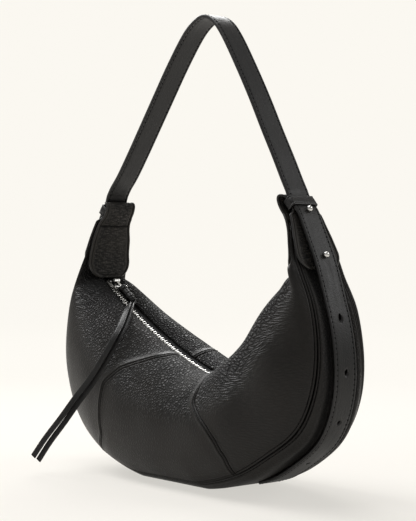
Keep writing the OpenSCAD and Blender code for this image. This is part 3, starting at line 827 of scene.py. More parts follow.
def finishes() -> dict[str, bpy.types.Material]:
    """Makes all finishes of the bag, each once.

    Returns:
        The materials by the keys that the pieces use.
    """
    kinds = {
        "leather": PebbledLeather(),
        # the tabs are cut from the same hide where it is firmer; their lighter face and worn colours are a
        # painted sheen
        "tab": PebbledLeather("pebbled tab leather", face="#33302c", worn="#3b3833", roughness=0.42),
        "strap": StrapLeather(),
        # the pull's leather is rubbed with more wax by every use, so it shines more; its darker colour is
        # painted shade
        "waxed_and_shaded": StrapLeather("waxed pull leather", "#090808", "#151312", 0.33),
        # acrylic edge paint, brushed on in coats: it closes the cut edge with a soft gloss
        "edge": PlainFinish("black edge paint", "#0b0a0a", "#141313", 0.38, pattern_mm=3.0),
        # bonded black thread, sunk into the leather: matt, and darker than the hide, partly the thread's own
        # black and partly painted shade of the needle channel
        "thread": PlainFinish("bonded black thread", "#040404", "#090808", 0.8, pattern_mm=0.6,
                              depth_mm=0.1, specular=0.12),
        # needle hole: a near-black mark with almost no reflection, painted shade where the hole lies
        "hole": PlainFinish("needle hole", "#030303", "#060606", 0.9, specular=0.05),
        # pressed leather board: grey-brown fibre that only shows inside
        "board": PlainFinish("pressed fibre board", "#4f4335", "#6b5a45", 0.85, pattern_mm=1.2, depth_mm=0.1),
        # zinc casting, polished and chrome plated: bright mirror with fine handling marks
        "chrome": PlainFinish("polished chrome plate", "#c9c8c5", "#dcdbd8", 0.16, 1.0, 4.0, 0.02),
        # polyester tape, woven in ribs and dyed black: dull, with a faint sheen. Real threads lie 0.3
        # to 0.5 mm apart; tape and lining have them drawn coarser, so that they show
        "tape": WovenCloth("woven zip tape", "#0d0d0f", "#030304", 0.9, 0.0),
        # cotton twill: soft grey-brown cloth whose ribs run on a slant
        "lining": WovenCloth("twill lining cloth", "#4f4a43", "#332f2a", 1.2, 0.785),
    }
    return {key: kind.material() for key, kind in kinds.items()}


# Pieces in the scene


def linked(name: str, data: bpy.types.ID) -> bpy.types.Object:
    """Puts a mesh, lamp or camera into the scene as an object.

    Args:
        name: the object's name.
        data: the mesh, lamp or camera.

    Returns:
        The object.
    """
    made = bpy.data.objects.new(name, data)
    bpy.context.scene.collection.objects.link(made)
    return made


@dataclass
class Workshop:
    """Turns shapes into pieces that ride on the frame's bodies."""

    finishes: dict[str, bpy.types.Material]

    def piece(self, name: str, shape: Shape, finish: str, slot: str, nodes: Sequence[str] = (),
              body: str = "bag", crisp: float = 50.0) -> bpy.types.Object:
        """Writes a shape as a mesh object.

        Args:
            name: the piece's name.
            shape: its points in mm, faces, uv and values; its painted faces get edge paint.
            finish: key of the main finish.
            slot: not used.
            nodes: CAD nodes that it stands for.
            body: CAD body that it rides on, or "" to leave it unattached.
            crisp: angle in degrees above which an edge is drawn sharp.

        Returns:
            The new object at the origin.
        """
        mesh = bpy.data.meshes.new(name)
        points = np.asarray(shape.points, float).reshape(-1, 3) * MM
        mesh.from_pydata(points.tolist(), [], [f for g in shape.faces for f in np.atleast_2d(g).tolist()])
        mesh.polygons.foreach_set("use_smooth", np.ones(len(mesh.polygons), bool))
        mesh.materials.append(self.finishes[finish])
        if shape.painted is not None:
            mesh.materials.append(self.finishes["edge"])
            mesh.polygons.foreach_set("material_index", shape.painted.astype(np.int32))
        if shape.uv is not None:
            corner = np.empty(len(mesh.loops), np.int32)
            mesh.loops.foreach_get("vertex_index", corner)
            layer = mesh.uv_layers.new(name="UVMap")
            layer.data.foreach_set("uv", (shape.uv * MM)[corner].astype(np.float32).ravel())
        for key, values in shape.values.items():
            attribute = mesh.attributes.new(key, "FLOAT", "POINT")
            attribute.data.foreach_set("value", np.asarray(values, np.float32).ravel())
        mesh.set_sharp_from_angle(angle=math.radians(crisp))
        mesh.update()
        made = linked(name, mesh)
        if nodes:
            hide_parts(*nodes)
        if body:
            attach(made, body)
        LOG.info("%s: %d points", name, len(points))
        return made

    def dress(self, finish: str, *nodes: str) -> None:
        """Gives carried-over CAD nodes their finish.

        Args:
            finish: key of the finish.
            nodes: names of the CAD nodes.
        """
        for node in nodes:
            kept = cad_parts[node].data.materials
            kept.clear()
            kept.append(self.finishes[finish])
            LOG.info("%s: carried over", node)


# Body


@dataclass(frozen=True)
class BagForm:
    """Surfaces of the bag's body, from one fan of sections between the zip and the outer edge.

    A section is named by its station u, from -9 at the tip of the left horn to 9 at the right
    one's. In a section's own plane, t runs from the zip line down to the outer edge.
    """

    run_left: tuple[float, float, float] = (177.0, 611.0, 537.0)
    run_right: tuple[float, float, float] = (-88.0, 367.0, 300.0)
    bend_radius: float = 60.0
    zip_end_x: float = 150.0
    # of each section from the middle out: x on the zip, left and right, and z there where it lies
    # past the zip; x and z on the outer edge; half depth, half width of the gusset, rise of its edges
    rows: Table = (
        (30, 30, 0, 0, 0, 61, 44.5, 7.5),
        (4, 54, 0, 45, 0, 61, 44.5, 7.5),
        (-24, 75, 0, 95, 12, 60, 42.5, 8),
        (-54, 95, 0, 134, 32, 55, 39, 8.5),
        (-84, 112, 0, 163, 55, 50, 31, 9),
        (-112, 127, 0, 178, 87, 43, 28, 8),
        (-134, 140, 0, 180, 124, 36, 25.5, 6),
        (-149, 150, 0, 171, 164, 30, 23.5, 4),
        (-145, 145, 207, 151.5, 202.2, 25, 21.5, 2.5),
        (-134.8, 134.8, 234.2, 138.9, 231.9, 16.5, 15, 1),
    )
    horn_foot: tuple[float, float] = (156.1, 197.2)
    upright: float = 5.6
    mouth_half: float = 6.5
    zip_stations: float = 7.0
    leather: float = 1.8
    fold_up: tuple[float, float] = (16.0, 8.0)
    fold_at: float = 7.4
    fold_width: float = 0.35

    @property
    def last(self) -> int:
        """Station of a horn's tip."""
        return len(self.rows) - 1

    def bend_centre(self) -> Array:
        """Centre of the small arc that touches both runs of the zip from inside.

        Returns:
            The centre's x and z.
        """
        left, right = np.array(self.run_left), np.array(self.run_right)
        to_left, to_right = left[2] - self.bend_radius, right[2] - self.bend_radius
        apart = right[:2] - left[:2]
        along = (to_left**2 - to_right**2 + apart @ apart) / (2.0 * np.linalg.norm(apart))
        aside = math.sqrt(to_left**2 - along**2)
        way = unit(apart)
        return left[:2] + way * along + np.array([-way[1], way[0]]) * aside

    def joins(self) -> tuple[Array, Array]:
        """Places where the bend meets the left and the right run.

        Returns:
            x and z of both places.
        """
        left, right = np.array(self.run_left), np.array(self.run_right)
        centre = self.bend_centre()
        return tuple(run[:2] + unit(centre - run[:2]) * run[2] for run in (left, right))

    def zip_z(self, x: Array) -> Array:
        """Height of the zip line at x: the lower half of one of three circles.

        Args:
            x: places across the bag.

        Returns:
            The heights.
        """
        x = np.asarray(x, float)
        centre = self.bend_centre()
        first, second = self.joins()

        def below(circle: Sequence[float]) -> Array:
            """Lower half of a circle that is given by x, z and radius."""
            return circle[1] - np.sqrt(np.maximum(circle[2] ** 2 - (x - circle[0]) ** 2, 0.0))

        bend = below((*centre, self.bend_radius))
        right = np.where(x > second[0], below(self.run_right), bend)
        return np.where(x < first[0], below(self.run_left), right)

    def zip_line(self, count: int) -> tuple[Array, Array]:
        """Even places along the zip in the plane y = 0, and the slope angle at each.

        Args:
            count: number of places.

        Returns:
            The places and the angles.
        """
        x = np.linspace(-self.zip_end_x, self.zip_end_x, 4000)
        line = np.stack([x, 0.0 * x, self.zip_z(x)], axis=1)
        total = lengths(line)[-1]
        at = np.linspace(0.0, total, count)
        before, after = (resample(line, np.clip(at + step, 0.0, total))[0] for step in (-0.5, 0.5))
        ahead = after - before
        return resample(line, at)[0], np.arctan2(ahead[:, 2], ahead[:, 0])

    def leaned(self, place: Sequence[float], horn: Horn) -> Array:
        """The left horn stands more upright: its places are turned about the horn's foot.

        Args:
            place: x and z of the place.
            horn: the horn that it belongs to.

        Returns:
            The place after the turn.
        """
        if horn is Horn.RIGHT:
            return np.array(place, float)
        foot = np.array([-self.horn_foot[0], self.horn_foot[1]])
        d = np.array(place, float) - foot
        c, s = math.cos(math.radians(self.upright)), math.sin(math.radians(self.upright))
        return foot + np.array([d[0] * c - d[1] * s, d[0] * s + d[1] * c])

    def station(self, k: int) -> Array:
        """Numbers of the section at a whole station, left or right.

        Args:
            k: station, from -9 to 9.

        Returns:
            Inner and outer x and z, half depth, gusset half width and rise.
        """
        r = self.rows[abs(k)]
        horn = Horn.LEFT if k < 0 else Horn.RIGHT
        x, far = r[0] if k < 0 else r[1], horn.value * r[3]
        if r[2] == 0:
            return np.array([x, float(self.zip_z(x)), far, *r[4:]])
        return np.array([*self.leaned((x, r[2]), horn), *self.leaned((far, r[4]), horn), *r[5:]])

    def section(self, u: Array) -> tuple[Array, ...]:
        """Numbers of the sections at any stations, by a smooth cubic through the whole ones.

        Args:
            u: stations.

        Returns:
            x and z on the zip line, the direction (x, z) down the section, its length, half
            depth, gusset half width and the rise of the gusset's edges.
        """
        table = [self.station(k) for k in range(-self.last, self.last + 1)]
        table = np.array([2 * table[0] - table[1], *table, 2 * table[-1] - table[-2]])
        u = np.asarray(u, float)
        i = np.clip(np.floor(u), -self.last, self.last - 1).astype(int)
        j = i + self.last + 1
        r = cubic(table[j - 1], table[j], table[j + 1], table[j + 2], (u - i)[..., None])
        top = np.where(np.abs(u) <= self.zip_stations, self.zip_z(r[..., 0]), r[..., 1])
        low = np.where(np.abs(u) <= 1.0, 0.0, np.maximum(0.0, r[..., 3]))
        dx, dz = r[..., 2] - r[..., 0], low - top
        length = np.hypot(dx, dz)
        return r[..., 0], top, dx / length, dz / length, length, r[..., 4], r[..., 5], r[..., 6]

    def pared(self, u: Array) -> Array:
        """The leather is pared to half its thickness towards the horn tips."""
        return 1.0 - 0.5 * ramp(np.abs(u), 7.2, 8.2)

    def panel(self, u: Array, v: Array, side: Side, inward: float = 0.0) -> Array:
        """Point of a panel: a cubic Bezier in the section's plane.

        Its four points are the mouth's edge, a pull above the zip, a pull outside the belly and
        the gusset's edge. v runs from 0 at the zip to 1 at the gusset.

        Args:
            u: stations.
            v: shares of the way down the section.
            side: front or back.
            inward: how far below the leather's face, in mm.

        Returns:
            The points.
        """
        u, v = np.broadcast_arrays(np.asarray(u, float), np.asarray(v, float))
        x, z, dx, dz, length, depth, gusset, rise = self.section(u)
        narrow = np.minimum(1.0, 1.0 - (np.abs(u) - self.zip_stations + 0.1) / 0.5)
        mouth = np.maximum(0.3, self.mouth_half * narrow)
        back = -0.05 * ramp(-u, 0, 2) if side is Side.BACK else 0.0
        fold = bump_curve(u, self.fold_at, self.fold_width)
        near_tip = np.where(u > 0, ramp(u, 7, 8.4), ramp(-u, 6, 7.8))
        puff = (-0.26 - 0.36 * ramp(u, 2, 6) + back) * (1.0 - near_tip)
        depth = depth * (1.0 + (0.12 if side is Side.FRONT else 0.0) * ramp(u, 3, 5))
        pulls = [
            (0.0 * length, mouth),
            (puff * length - self.fold_up[0] * fold, depth),
            (0.80 * length - self.fold_up[1] * fold, 1.32 * depth),
            (length - rise, gusset),
        ]
        share = [(1 - v) ** 3, 3 * v * (1 - v) ** 2, 3 * v * v * (1 - v), v**3]
        slope = [3 * (1 - v) ** 2, 6 * v * (1 - v), 3 * v * v]
        t = sum(s * p[0] for s, p in zip(share, pulls))
        y = sum(s * p[1] for s, p in zip(share, pulls))
        gt = sum(s * (pulls[k + 1][0] - pulls[k][0]) for k, s in enumerate(slope))
        gy = sum(s * (pulls[k + 1][1] - pulls[k][1]) for k, s in enumerate(slope))
        n = np.maximum(np.hypot(gt, gy), 1e-9)
        deep = inward * self.pared(u)
        t, y = t + gy / n * deep, y - gt / n * deep
        return np.stack([x + dx * t, side.value * y, z + dz * t], axis=-1)

    def gusset(self, u: Array, w: Array, inward: float = 0.0) -> Array:
        """Point of the gusset strip: flat in the middle, its edges rise as a square.

        w runs from -1 at the front edge to 1 at the back edge.

        Args:
            u: stations.
            w: shares across the strip.
            inward: how far below the leather's face, in mm.

        Returns:
            The points.
        """
        u, w = np.broadcast_arrays(np.asarray(u, float), np.asarray(w, float))
        x, z, dx, dz, length, _, half, rise = self.section(u)
        a = np.abs(w)
        lift = np.where(a < 0.6, 0.0, ((a - 0.6) / 0.4) ** 2)
        steep = np.where(a < 0.6, 0.0, 2.0 * (a - 0.6) / 0.16 * rise / half)
        n = np.hypot(1.0, steep)
        deep = inward * self.pared(u)
        t = length - rise * lift - deep / n
        y = w * half - np.sign(w) * steep / n * deep
        return np.stack([x + dx * t, y, z + dz * t], axis=-1)


@dataclass
class Shell:
    """Leather shell: three panels in front and three behind, and the gusset between them.

    Pieces meet in turned seams with a row of stitches on both sides.
    """

    form: BagForm
    shop: Workshop
    seam_left: Table = (
        (0, 1.88), (0.16, 1.88), (0.28, 2.17), (0.41, 2.64), (0.54, 2.84), (0.64, 2.53),
        (0.78, 2.05), (1, 2.1))
    seam_right: Table = (
        (0, 0.55), (0.14, 0.68), (0.3, 0.98), (0.44, 1.04), (0.55, 1.48), (0.63, 1.78),
        (0.71, 1.98), (0.83, 2.1), (1, 2))
    panel_end: float = 0.998
    tip: float = 8.98
    row_inset: float = 2.8
    stitch_pitch: float = 4.0
    strap_edge: float = 12.5
    sag: float = 2.2
    seam_fade: tuple[float, float] = (7.9, 8.6)
    # spacing of the points, in mm: at a seam, at a border without one, and the widest
    fine: float = 0.35
    coarse: float = 2.2
    widest: float = 2.4
    panel_fall: float = 185.0
    gusset_wide: float = 72.0
    # how far the hide stands out at the right horn's root and in the shelf below the zip
    root: float = 4.0
    shelf: float = 3.2
    uneven: float = 0.55

    def __post_init__(self) -> None:
        """Lays out the thread that all seams share."""
        self.thread = Sewing(self.shop, "seam", "leather", self.stitch_pitch, 2.6, 1.1)

    def seam_station(self, table: Sequence[tuple[float, float]], sign: float, v: Array) -> Array:
        """Station of a seam at v, with the corners of its table rounded off.

        Args:
            table: pairs of v and station.
            sign: -1 for a seam on the left, 1 on the right.
            v: shares of the way down.

        Returns:
            The stations.
        """
        fine = np.linspace(0.0, 1.0, 401)
        line = np.interp(fine, *np.array(table).T)
        weight = bump_curve(np.linspace(-1, 1, 33), 0.0, 0.5)
        soft = np.convolve(np.pad(line, 16, mode="edge"), weight / weight.sum(), mode="valid")
        return sign * np.interp(v, fine, soft)

    def relief(self, distance: Array, stitched: bool) -> Array:
        """Height of the leather beside a seam.

        It turns down at the seam itself. Where a row of stitches runs beside it, the leather is
        drawn in along the row and stands up as a rib between the row and the seam.

        Args:
            distance: distances from the seam.
            stitched: whether a row runs beside it.

        Returns:
            The heights.
        """
        row = self.row_inset
        bumps = ((-0.85, row, 0.5), (0.55, 0.5 * row, 0.75), (0.25, row + 1.8, 1.0)) if stitched else (
            (0.2, 1.6, 0.9),)
        return -bump_curve(distance, 0.0, 0.5) + sum(
            high * bump_curve(distance, place, width) for high, place, width in bumps)

    def groove(self, distance: Array, stitched: bool) -> Array:
        """How much painted shade a place gets, from 0 to 1: in the groove at the seam and along the stitches.
        """
        at_seam = bump_curve(distance, 0.0, 0.6)
        return np.maximum(at_seam, 0.7 * bump_curve(distance, self.row_inset, 0.5) * stitched)

    def crease_lines(self, run: Array, fall: Array) -> tuple[Array, Array]:
        """Lengths along and across the creases that the hide shows where it is drawn together.

        A crease leaves the zip square to it and bends over until it runs mostly along the bag.
        Its slope, run over fall, goes from -0.4 to 1.4; the second length is the run minus the
        slope added up over the fall.
        """
        turn = np.where(fall > 45.0, fall - 30.0, 0.5 * np.maximum(fall - 15.0, 0.0) ** 2 / 30.0)
        return 1.7 * fall, 0.58 * (run + 0.4 * fall - 1.8 * turn)

    def sew(self, grid: Array, normals: Array, distance: Array) -> None:
        """Sews a row of stitches where the distance from a border reaches the row's inset.

        Args:
            grid: points, counted from the border along the first axis.
            normals: outward normals of the grid.
            distance: distance of each point from that border.
        """
        past = np.argmax(distance >= self.row_inset, axis=0)
        past = np.clip(past, 1, len(distance) - 1)
        j = np.arange(grid.shape[1])
        low, high = distance[past - 1, j], distance[past, j]
        share = np.clip((self.row_inset - low) / np.maximum(high - low, 1e-6), 0.0, 1.0)[:, None]
        self.thread.row(grid[past - 1, j] * (1 - share) + grid[past, j] * share,
                        unit(normals[past - 1, j] * (1 - share) + normals[past, j] * share))

    def panel(self, name: str, side: Side, start: Callable[[Array], Array], end: Callable[[Array], Array],
              seams: tuple[bool, bool], rows: tuple[bool, bool], length: float) -> None:
        """Makes one panel between two lines of stations.

        Args:
            name: CAD node and piece name without the side.
            side: front or back.
            start: station of the left border at v.
            end: station of the right border at v.
            seams: whether the borders at start and end are seams.
            rows: whether a row of stitches runs beside them on this panel.
            length: typical distance between them, in mm.
        """
        form = self.form
        share = graded(length, *(self.fine if seam else self.coarse for seam in seams), self.widest)
        v = graded(self.panel_fall, 0.4, 0.3, self.coarse) * self.panel_end
        across, down = np.meshgrid(share, v, indexing="ij")
        u = start(down) + (end(down) - start(down)) * across
        skin = form.panel(u, down, side)
        outward = skin - form.panel(u, down, side, 1.0)
        normals = grid_normals(skin, outward)
        run, fall = walked(skin, 0), walked(skin, 1)
        skew = np.sum(unit(np.gradient(skin, axis=0)) * unit(np.gradient(skin, axis=1)), axis=-1)
        square = np.sqrt(np.maximum(1.0 - skew**2, 0.05))
        nearest = to_gusset = fall[:, -1:] - fall
        to_left, to_right = run * square, (run[-1:] - run) * square
        fade = 1.0 - ramp(np.abs(u), *self.seam_fade)
        # dark holds the painted shade of the grooves at the seams and along the stitches
        height, dark = self.relief(to_gusset, True) * fade, self.groove(to_gusset, True) * fade
        for is_seam, stitched, distance in zip(seams, rows, (to_left, to_right)):
            if is_seam:
                height = height + self.relief(distance, stitched)
                nearest = np.minimum(nearest, distance)
                dark = np.maximum(dark, self.groove(distance, stitched))
        height = height - 0.5 * bump_curve(fall, 0.0, 0.8) - 0.12 * bump_curve(fall, 3.2, 0.7)
        calm = ramp(np.minimum(nearest, fall), 3.0, 16.0)
        # the hide stands out at the horn's root and in a shelf below the middle of the zip
        root = self.root * bump_curve(u, 6.6, 0.5) * bump_curve(down, 0.17, 0.17)
        shelf = self.shelf * bump_curve(down, 0.42, 0.12) * bump_curve(u, -0.5, 1.3)
        height = height + calm * (root + shelf) * (side is Side.FRONT)
        height = height + self.uneven * calm * soft_noise(skin, 26.0, 5)
        outer = skin + normals * height[..., None]
        slack = (1.0 - ramp(down, 0.34, 0.60)) * (1.0 - 0.55 * ramp(np.abs(u), 7.0, 8.2))
        tight = 0.15 + 1.0 * slack * ramp(nearest, 2.0, 9.0)
        drawn = ramp(u, 1.2, 3.2) + ramp(-u, 4.6, 6.2)
        crease = np.clip(drawn * (0.15 + slack) * ramp(nearest, 1.5, 6.0), 0.0, 1.0)
        grain = np.clip(tight * (1.0 - 0.6 * np.clip(drawn, 0, 1)), 0.0, 1.0)
        shape = walled(outer, form.panel(u, down, side, form.leather), self.crease_lines(run, fall),
                       grain=grain, crease=crease, groove=dark)
        label = f"{side.name.lower()}_panel_{name}"
        self.shop.piece(f"{label}_leather", shape, "leather", "leather", [label])
        keep = np.abs(u[:, -1]) < 8.05
        self.sew(*(np.swapaxes(grid[keep], 0, 1)[::-1] for grid in (outer, normals, to_gusset)))
        if rows[0]:
            self.sew(outer, normals, to_left)
        if rows[1]:
            self.sew(outer[::-1], normals[::-1], to_right[::-1])

    def gusset(self, name: str, start: float, end: float, length: float) -> None:
        """Makes a stretch of the gusset strip between two stations.

        Args:
            name: left, base or right.
            start: first station.
            end: last station.
            length: its rough length in mm.
        """
        form = self.form
        u = np.linspace(start, end, int(length / self.widest))
        w = graded(self.gusset_wide, self.fine, self.fine, self.coarse) * 2.0 - 1.0
        along, across = np.meshgrid(u, w, indexing="ij")
        flat = form.gusset(along, across)
        outward = unit(flat - form.gusset(along, across, 1.0))
        # the soft strip sinks in a little between the strap and the seams
        beside = np.abs(flat[..., 1]) - self.strap_edge
        reach = np.abs(flat[:, :1, 1]) - self.strap_edge
        hollow = ramp(beside, -3.0, 1.0) * (1.0 - ramp(beside, 0.15 * reach, 0.7 * reach))
        hollow = hollow * ramp(flat[..., 2], 12.0, 45.0) * (1.0 - ramp(np.abs(along), 7.6, 8.3))
        skin = flat - outward * (self.sag * hollow)[..., None]
        normals = grid_normals(skin, outward)
        to_front = walked(skin, 1)
        to_back = to_front[:, -1:] - to_front
        nearest = np.minimum(to_front, to_back)
        fade = 1.0 - ramp(np.abs(along), *self.seam_fade)
        height = self.relief(nearest, True) * fade
        standing = ramp(skin[..., 2], 4.0, 20.0)
        height = height + 0.3 * standing * ramp(nearest, 4.0, 14.0) * soft_noise(skin, 24.0, 9)
        outer = skin + normals * height[..., None]
        outer[..., 2] = np.maximum(outer[..., 2], 0.0)
        under = form.gusset(along, across, form.leather) - outward * (self.sag * hollow)[..., None]
        grain = np.clip((0.15 + 0.5 * ramp(np.abs(along), 4.0, 7.0)) * ramp(nearest, 2.0, 8.0), 0, 1)
        # painted shade: the strip that sinks in beside the strap is coloured darker, like the seams' grooves
        dark = np.maximum(self.groove(nearest, True) * fade, 0.8 * hollow)
        shape = walled(outer, under, (lengths(skin[:, len(w) // 2])[:, None], to_front),
                       grain=grain, crease=0.3 * grain, groove=dark)
        self.shop.piece(f"gusset_{name}_leather", shape, "leather", "leather", [f"gusset_{name}"])
        keep = np.abs(u) < self.seam_fade[0]
        grid, facing, front, back = (np.swapaxes(a[keep], 0, 1) for a in (outer, normals, to_front, to_back))
        self.sew(grid, facing, front)
        self.sew(grid[::-1], facing[::-1], back[::-1])

    def build(self) -> None:
        """Makes all panels, the gusset and their stitches."""
        left = partial(self.seam_station, self.seam_left, -1.0)
        right = partial(self.seam_station, self.seam_right, 1.0)
        for side in Side:
            self.panel("left", side, left, lambda v: -self.tip, (True, False), (False, False), 330.0)
            self.panel("centre", side, left, right, (True, True), (True, False), 135.0)
            self.panel("right", side, right, lambda v: self.tip, (True, False), (True, False), 360.0)
        self.gusset("left", -self.tip, -1.0, 380.0)
        self.gusset("base", -1.0, 1.0, 92.0)
        self.gusset("right", 1.0, self.tip, 380.0)
        self.thread.build()


@dataclass
class Inside:
    """Cloth lining with a slip pocket, and the stiffeners behind it."""

    form: BagForm
    shop: Workshop
    inset: float = 3.0
    cloth: float = 0.6
    top: float = 7.0
    floor: float = 4.9

    def sheet(self, name: str, side: Side, stations: tuple[float, float], rows: tuple[float, float],
              inset: float, thick: float, ripple: float) -> None:
        """Makes one panel of cloth that hangs a little rippled inside the leather.

        Args:
            name: CAD node and piece name.
            side: front or back.
            stations: first and last station.
            rows: first and last v.
            inset: distance below the leather's face.
            thick: thickness of the cloth.
            ripple: height of its ripples.
        """
        u, v = np.meshgrid(np.linspace(*stations, 150), np.linspace(*rows, 60), indexing="ij")
        outer = self.form.panel(u, v, side, inset)
        normals = grid_normals(outer, outer - self.form.panel(u, v, side, inset + 1.0))
        edge = np.minimum(ramp(v, rows[0], rows[0] + 0.08), 1.0 - ramp(v, rows[1] - 0.08, rows[1]))
        outer = outer + normals * (ripple * edge * soft_noise(outer, 18.0, 21))[..., None]
        shape = walled(outer, outer - normals * thick, (u * 40.0, v * 180.0))
        self.shop.piece(f"{name}_cloth", shape, "lining", "lining", [name])

    def build(self) -> None:
        """Makes the lining and the pocket and dresses the stiffeners."""
        stations = (-self.top, self.top)
        self.sheet("lining_front", Side.FRONT, stations, (0.09, 0.95), self.inset, self.cloth, 0.25)
        self.sheet("lining_back", Side.BACK, stations, (0.09, 0.95), self.inset, self.cloth, 0.25)
        self.sheet("inner_pocket", Side.BACK, (-1.4, 1.2), (0.28, 0.72), 4.8, 0.8, 0.2)
        u, w = np.meshgrid(np.linspace(*stations, 150), np.linspace(-0.84, 0.84, 24), indexing="ij")
        shape = walled(self.form.gusset(u, w, self.floor), self.form.gusset(u, w, self.floor + self.cloth),
                       (u * 40.0, w * 35.0))
        self.shop.piece("lining_gusset_cloth", shape, "lining", "lining", ["lining_gusset"])
        self.shop.dress("board", "base_board", "horn_stay_left", "horn_stay_right")


# Zip


@dataclass
class Zip:
    """Metal zip: two woven tapes, two rows of teeth, stops, slider, pull, barrel and thong."""

    form: BagForm
    shop: Workshop
    pitch: float = 6.2
    tooth_top: float = 1.5
    tooth_high: float = 3.0
    chain_start: float = 10.6
    chain_end: float = 6.0
    tape: tuple[float, float] = (3.3, 11.0)
    tape_thick: float = 0.8
    slider_x: float = -140.0
    plate_thick: float = 1.1
    plate_gap: float = 0.35
    # half length, half width and rise of the slider's crowned cover
    cover: tuple[float, float, float] = (6.4, 4.6, 1.15)
    pin: tuple[float, float] = (3.5, 6.0)
    barrel_start: float = 11.5
    barrel_length: float = 23.0
    barrel_radius: float = 4.5
    barrel_lift: float = 0.8
    barrel_grooves: Table = (
        (0.75, 5.8, 0.7), (0.65, 12.6, 0.6), (0.45, 2.7, 0.35), (0.65, 18.9, 0.6))
    thong: Table = (
        (-104, -3, 158), (-94.5, -11.5, 158.5), (-84, -22, 154), (-76.5, -31.5, 145.5),
        (-73, -39.5, 136), (-73, -46, 126.5), (-78, -55, 108), (-87.5, -62.5, 89),
        (-96.5, -73.5, 70), (-106, -83, 51), (-117.5, -92, 32), (-127.5, -99, 14))
    thong_face: tuple[float, float, float] = (0.36, -0.83, 0.41)
    thong_width: float = 6.2
    thong_thick: float = 1.4
    ply_gap: float = 0.8
    bends: Table = ((-0.104, -0.003, 0.158), (-0.084, -0.080, 0.100))

    def axes(self, angle: Array) -> tuple[Array, Array]:
        """Directions along the zip and up from it at slope angles."""
        c, s, zero = np.cos(angle), np.sin(angle), 0.0 * angle
        return np.stack([c, zero, s], -1), np.stack([-s, zero, c], -1)

    def tooth(self) -> Shape:
        """A tooth lies across the chain: a rounded bar, waisted in the middle, with a round nose.

        Its cross-sections are rounded squares whose width and height follow seven stations.

        Returns:
            The tooth round the origin.
        """
        reach = np.array([-3.1, -2.6, -1.4, 0.0, 1.2, 2.0, 2.4])
        wide = np.array([0.9, 1.4, 1.3, 1.1, 1.4, 1.3, 0.7])
        high = np.array([1.7, 2.5, 2.6, 2.5, 2.6, 2.2, 1.2])
        turn = np.arange(8) * math.pi / 4.0 + math.pi / 8.0
        points = np.stack(np.broadcast_arrays(
            wide[:, None] * np.cos(turn) * 0.54, reach[:, None], high[:, None] * np.sin(turn) * 0.54), -1)
        points = points.reshape(-1, 3)
        caps = np.array([np.arange(8), 48 + np.arange(8)[::-1]])
        return Shape(points, turned_out(points, [quads(7, 8, ring=True), caps]))

    def chain(self) -> None:
        """Makes both rows of teeth, half a pitch apart."""
        place, angle = self.form.zip_line(4000)
        count = int((lengths(place)[-1] - self.chain_start - self.chain_end) / self.pitch)
        for side in Side:
            shift = self.pitch / 2.0 if side is Side.BACK else 0.0
            at = self.chain_start + shift + np.arange(count) * self.pitch
            spot, tilt = resample(place, at, angle[:, None])
            along, up = self.axes(tilt[:, 0])
            sign = -float(side.value)
            middle = spot - up * (self.tooth_top + self.tooth_high / 2.0)
            row = copies(self.tooth(), middle, along * sign, np.tile(ACROSS * sign, (count, 1)), up)
            name = f"zip_teeth_{side.name.lower()}"
            self.shop.piece(f"{name}_metal", row, "chrome", "hardware", [name], crisp=40.0)

    def tapes(self) -> None:
        """Makes the woven tapes, each with a thick corded edge beside the teeth."""
        place, angle = self.form.zip_line(240)
        up = self.axes(angle)[1][:, None]
        y = np.concatenate([[self.tape[0]], np.linspace(self.tape[0] + 0.4, self.tape[1], 14)])
        sink = self.tooth_top + self.tooth_high / 2.0 - self.tape_thick / 2.0
        cord = 0.28 * bump_curve(y, self.tape[0] + 0.5, 0.5)
        for side in Side:
            top = place[:, None] - up * (sink - cord)[:, None]
            low = place[:, None] - up * (sink + self.tape_thick + cord)[:, None]
            top[..., 1] = low[..., 1] = side.value * y
            name = f"zip_tape_{side.name.lower()}"
            shape = walled(top, low, (lengths(place)[:, None], y))
            self.shop.piece(f"{name}_cloth", shape, "tape", "zip_tape", [name])

    def slider_frame(self) -> tuple[Array, Array, Array]:
        """Place of the slider on the zip line with the directions along and up.

        Returns:
            The place and the two directions.
        """
        place, angle = self.form.zip_line(4000)
        k = int(np.argmin(np.abs(place[:, 0] - self.slider_x)))
        along, up = self.axes(angle[k : k + 1])
        return place[k], along[0], up[0]

    def barrel_foot(self) -> Array:
        """Middle of the barrel's end that lies towards the slider."""
        origin, along, up = self.slider_frame()
        return origin + along * (self.pin[0] + self.barrel_start) + up * (self.pin[1] + self.barrel_lift)

    def metal(self) -> None:
        """Dresses the slider, pull and stops and adds the slider's crowned cover with its rivet."""
        self.shop.dress("chrome", "zip_slider", "zip_pull", "zip_stop_left", "zip_stop_right")
        origin, along, up = self.slider_frame()
        s, w = np.meshgrid(np.linspace(-1, 1, 25), np.linspace(-1, 1, 21), indexing="ij")
        wide = self.cover[1] * (1.0 - 0.45 * ramp(s, 0.1, 1.0)) * np.sqrt(np.maximum(1 - 0.35 * s**6, 0))
        base = self.plate_thick + self.plate_gap - self.tooth_top
        flat = origin + along * (s * self.cover[0])[..., None] + ACROSS * (w * wide)[..., None]
        rise = self.cover[2] * np.clip(1 - s**4, 0, 1) * np.clip(1 - w**4, 0, 1)
        # the cover is cut away round the two lugs, so only its rear half is laid down
        grid, floor = (flat[:14] + up * (base + high[:14])[..., None] for high in (rise, 0 * rise - 0.05))
        self.shop.piece("zip_slider_cover", walled(grid, floor), "chrome", "hardware", body="slider")
        rivet = revolved([(0, -0.4), (1.5, -0.4), (1.7, 0.1), (1.5, 0.45), (0.8, 0.6), (0, 0.62)],
                         origin - along * 2.4 + up * (base + 1.1), up, 24)
        self.shop.piece("zip_slider_rivet", rivet, "chrome", "hardware", body="slider")

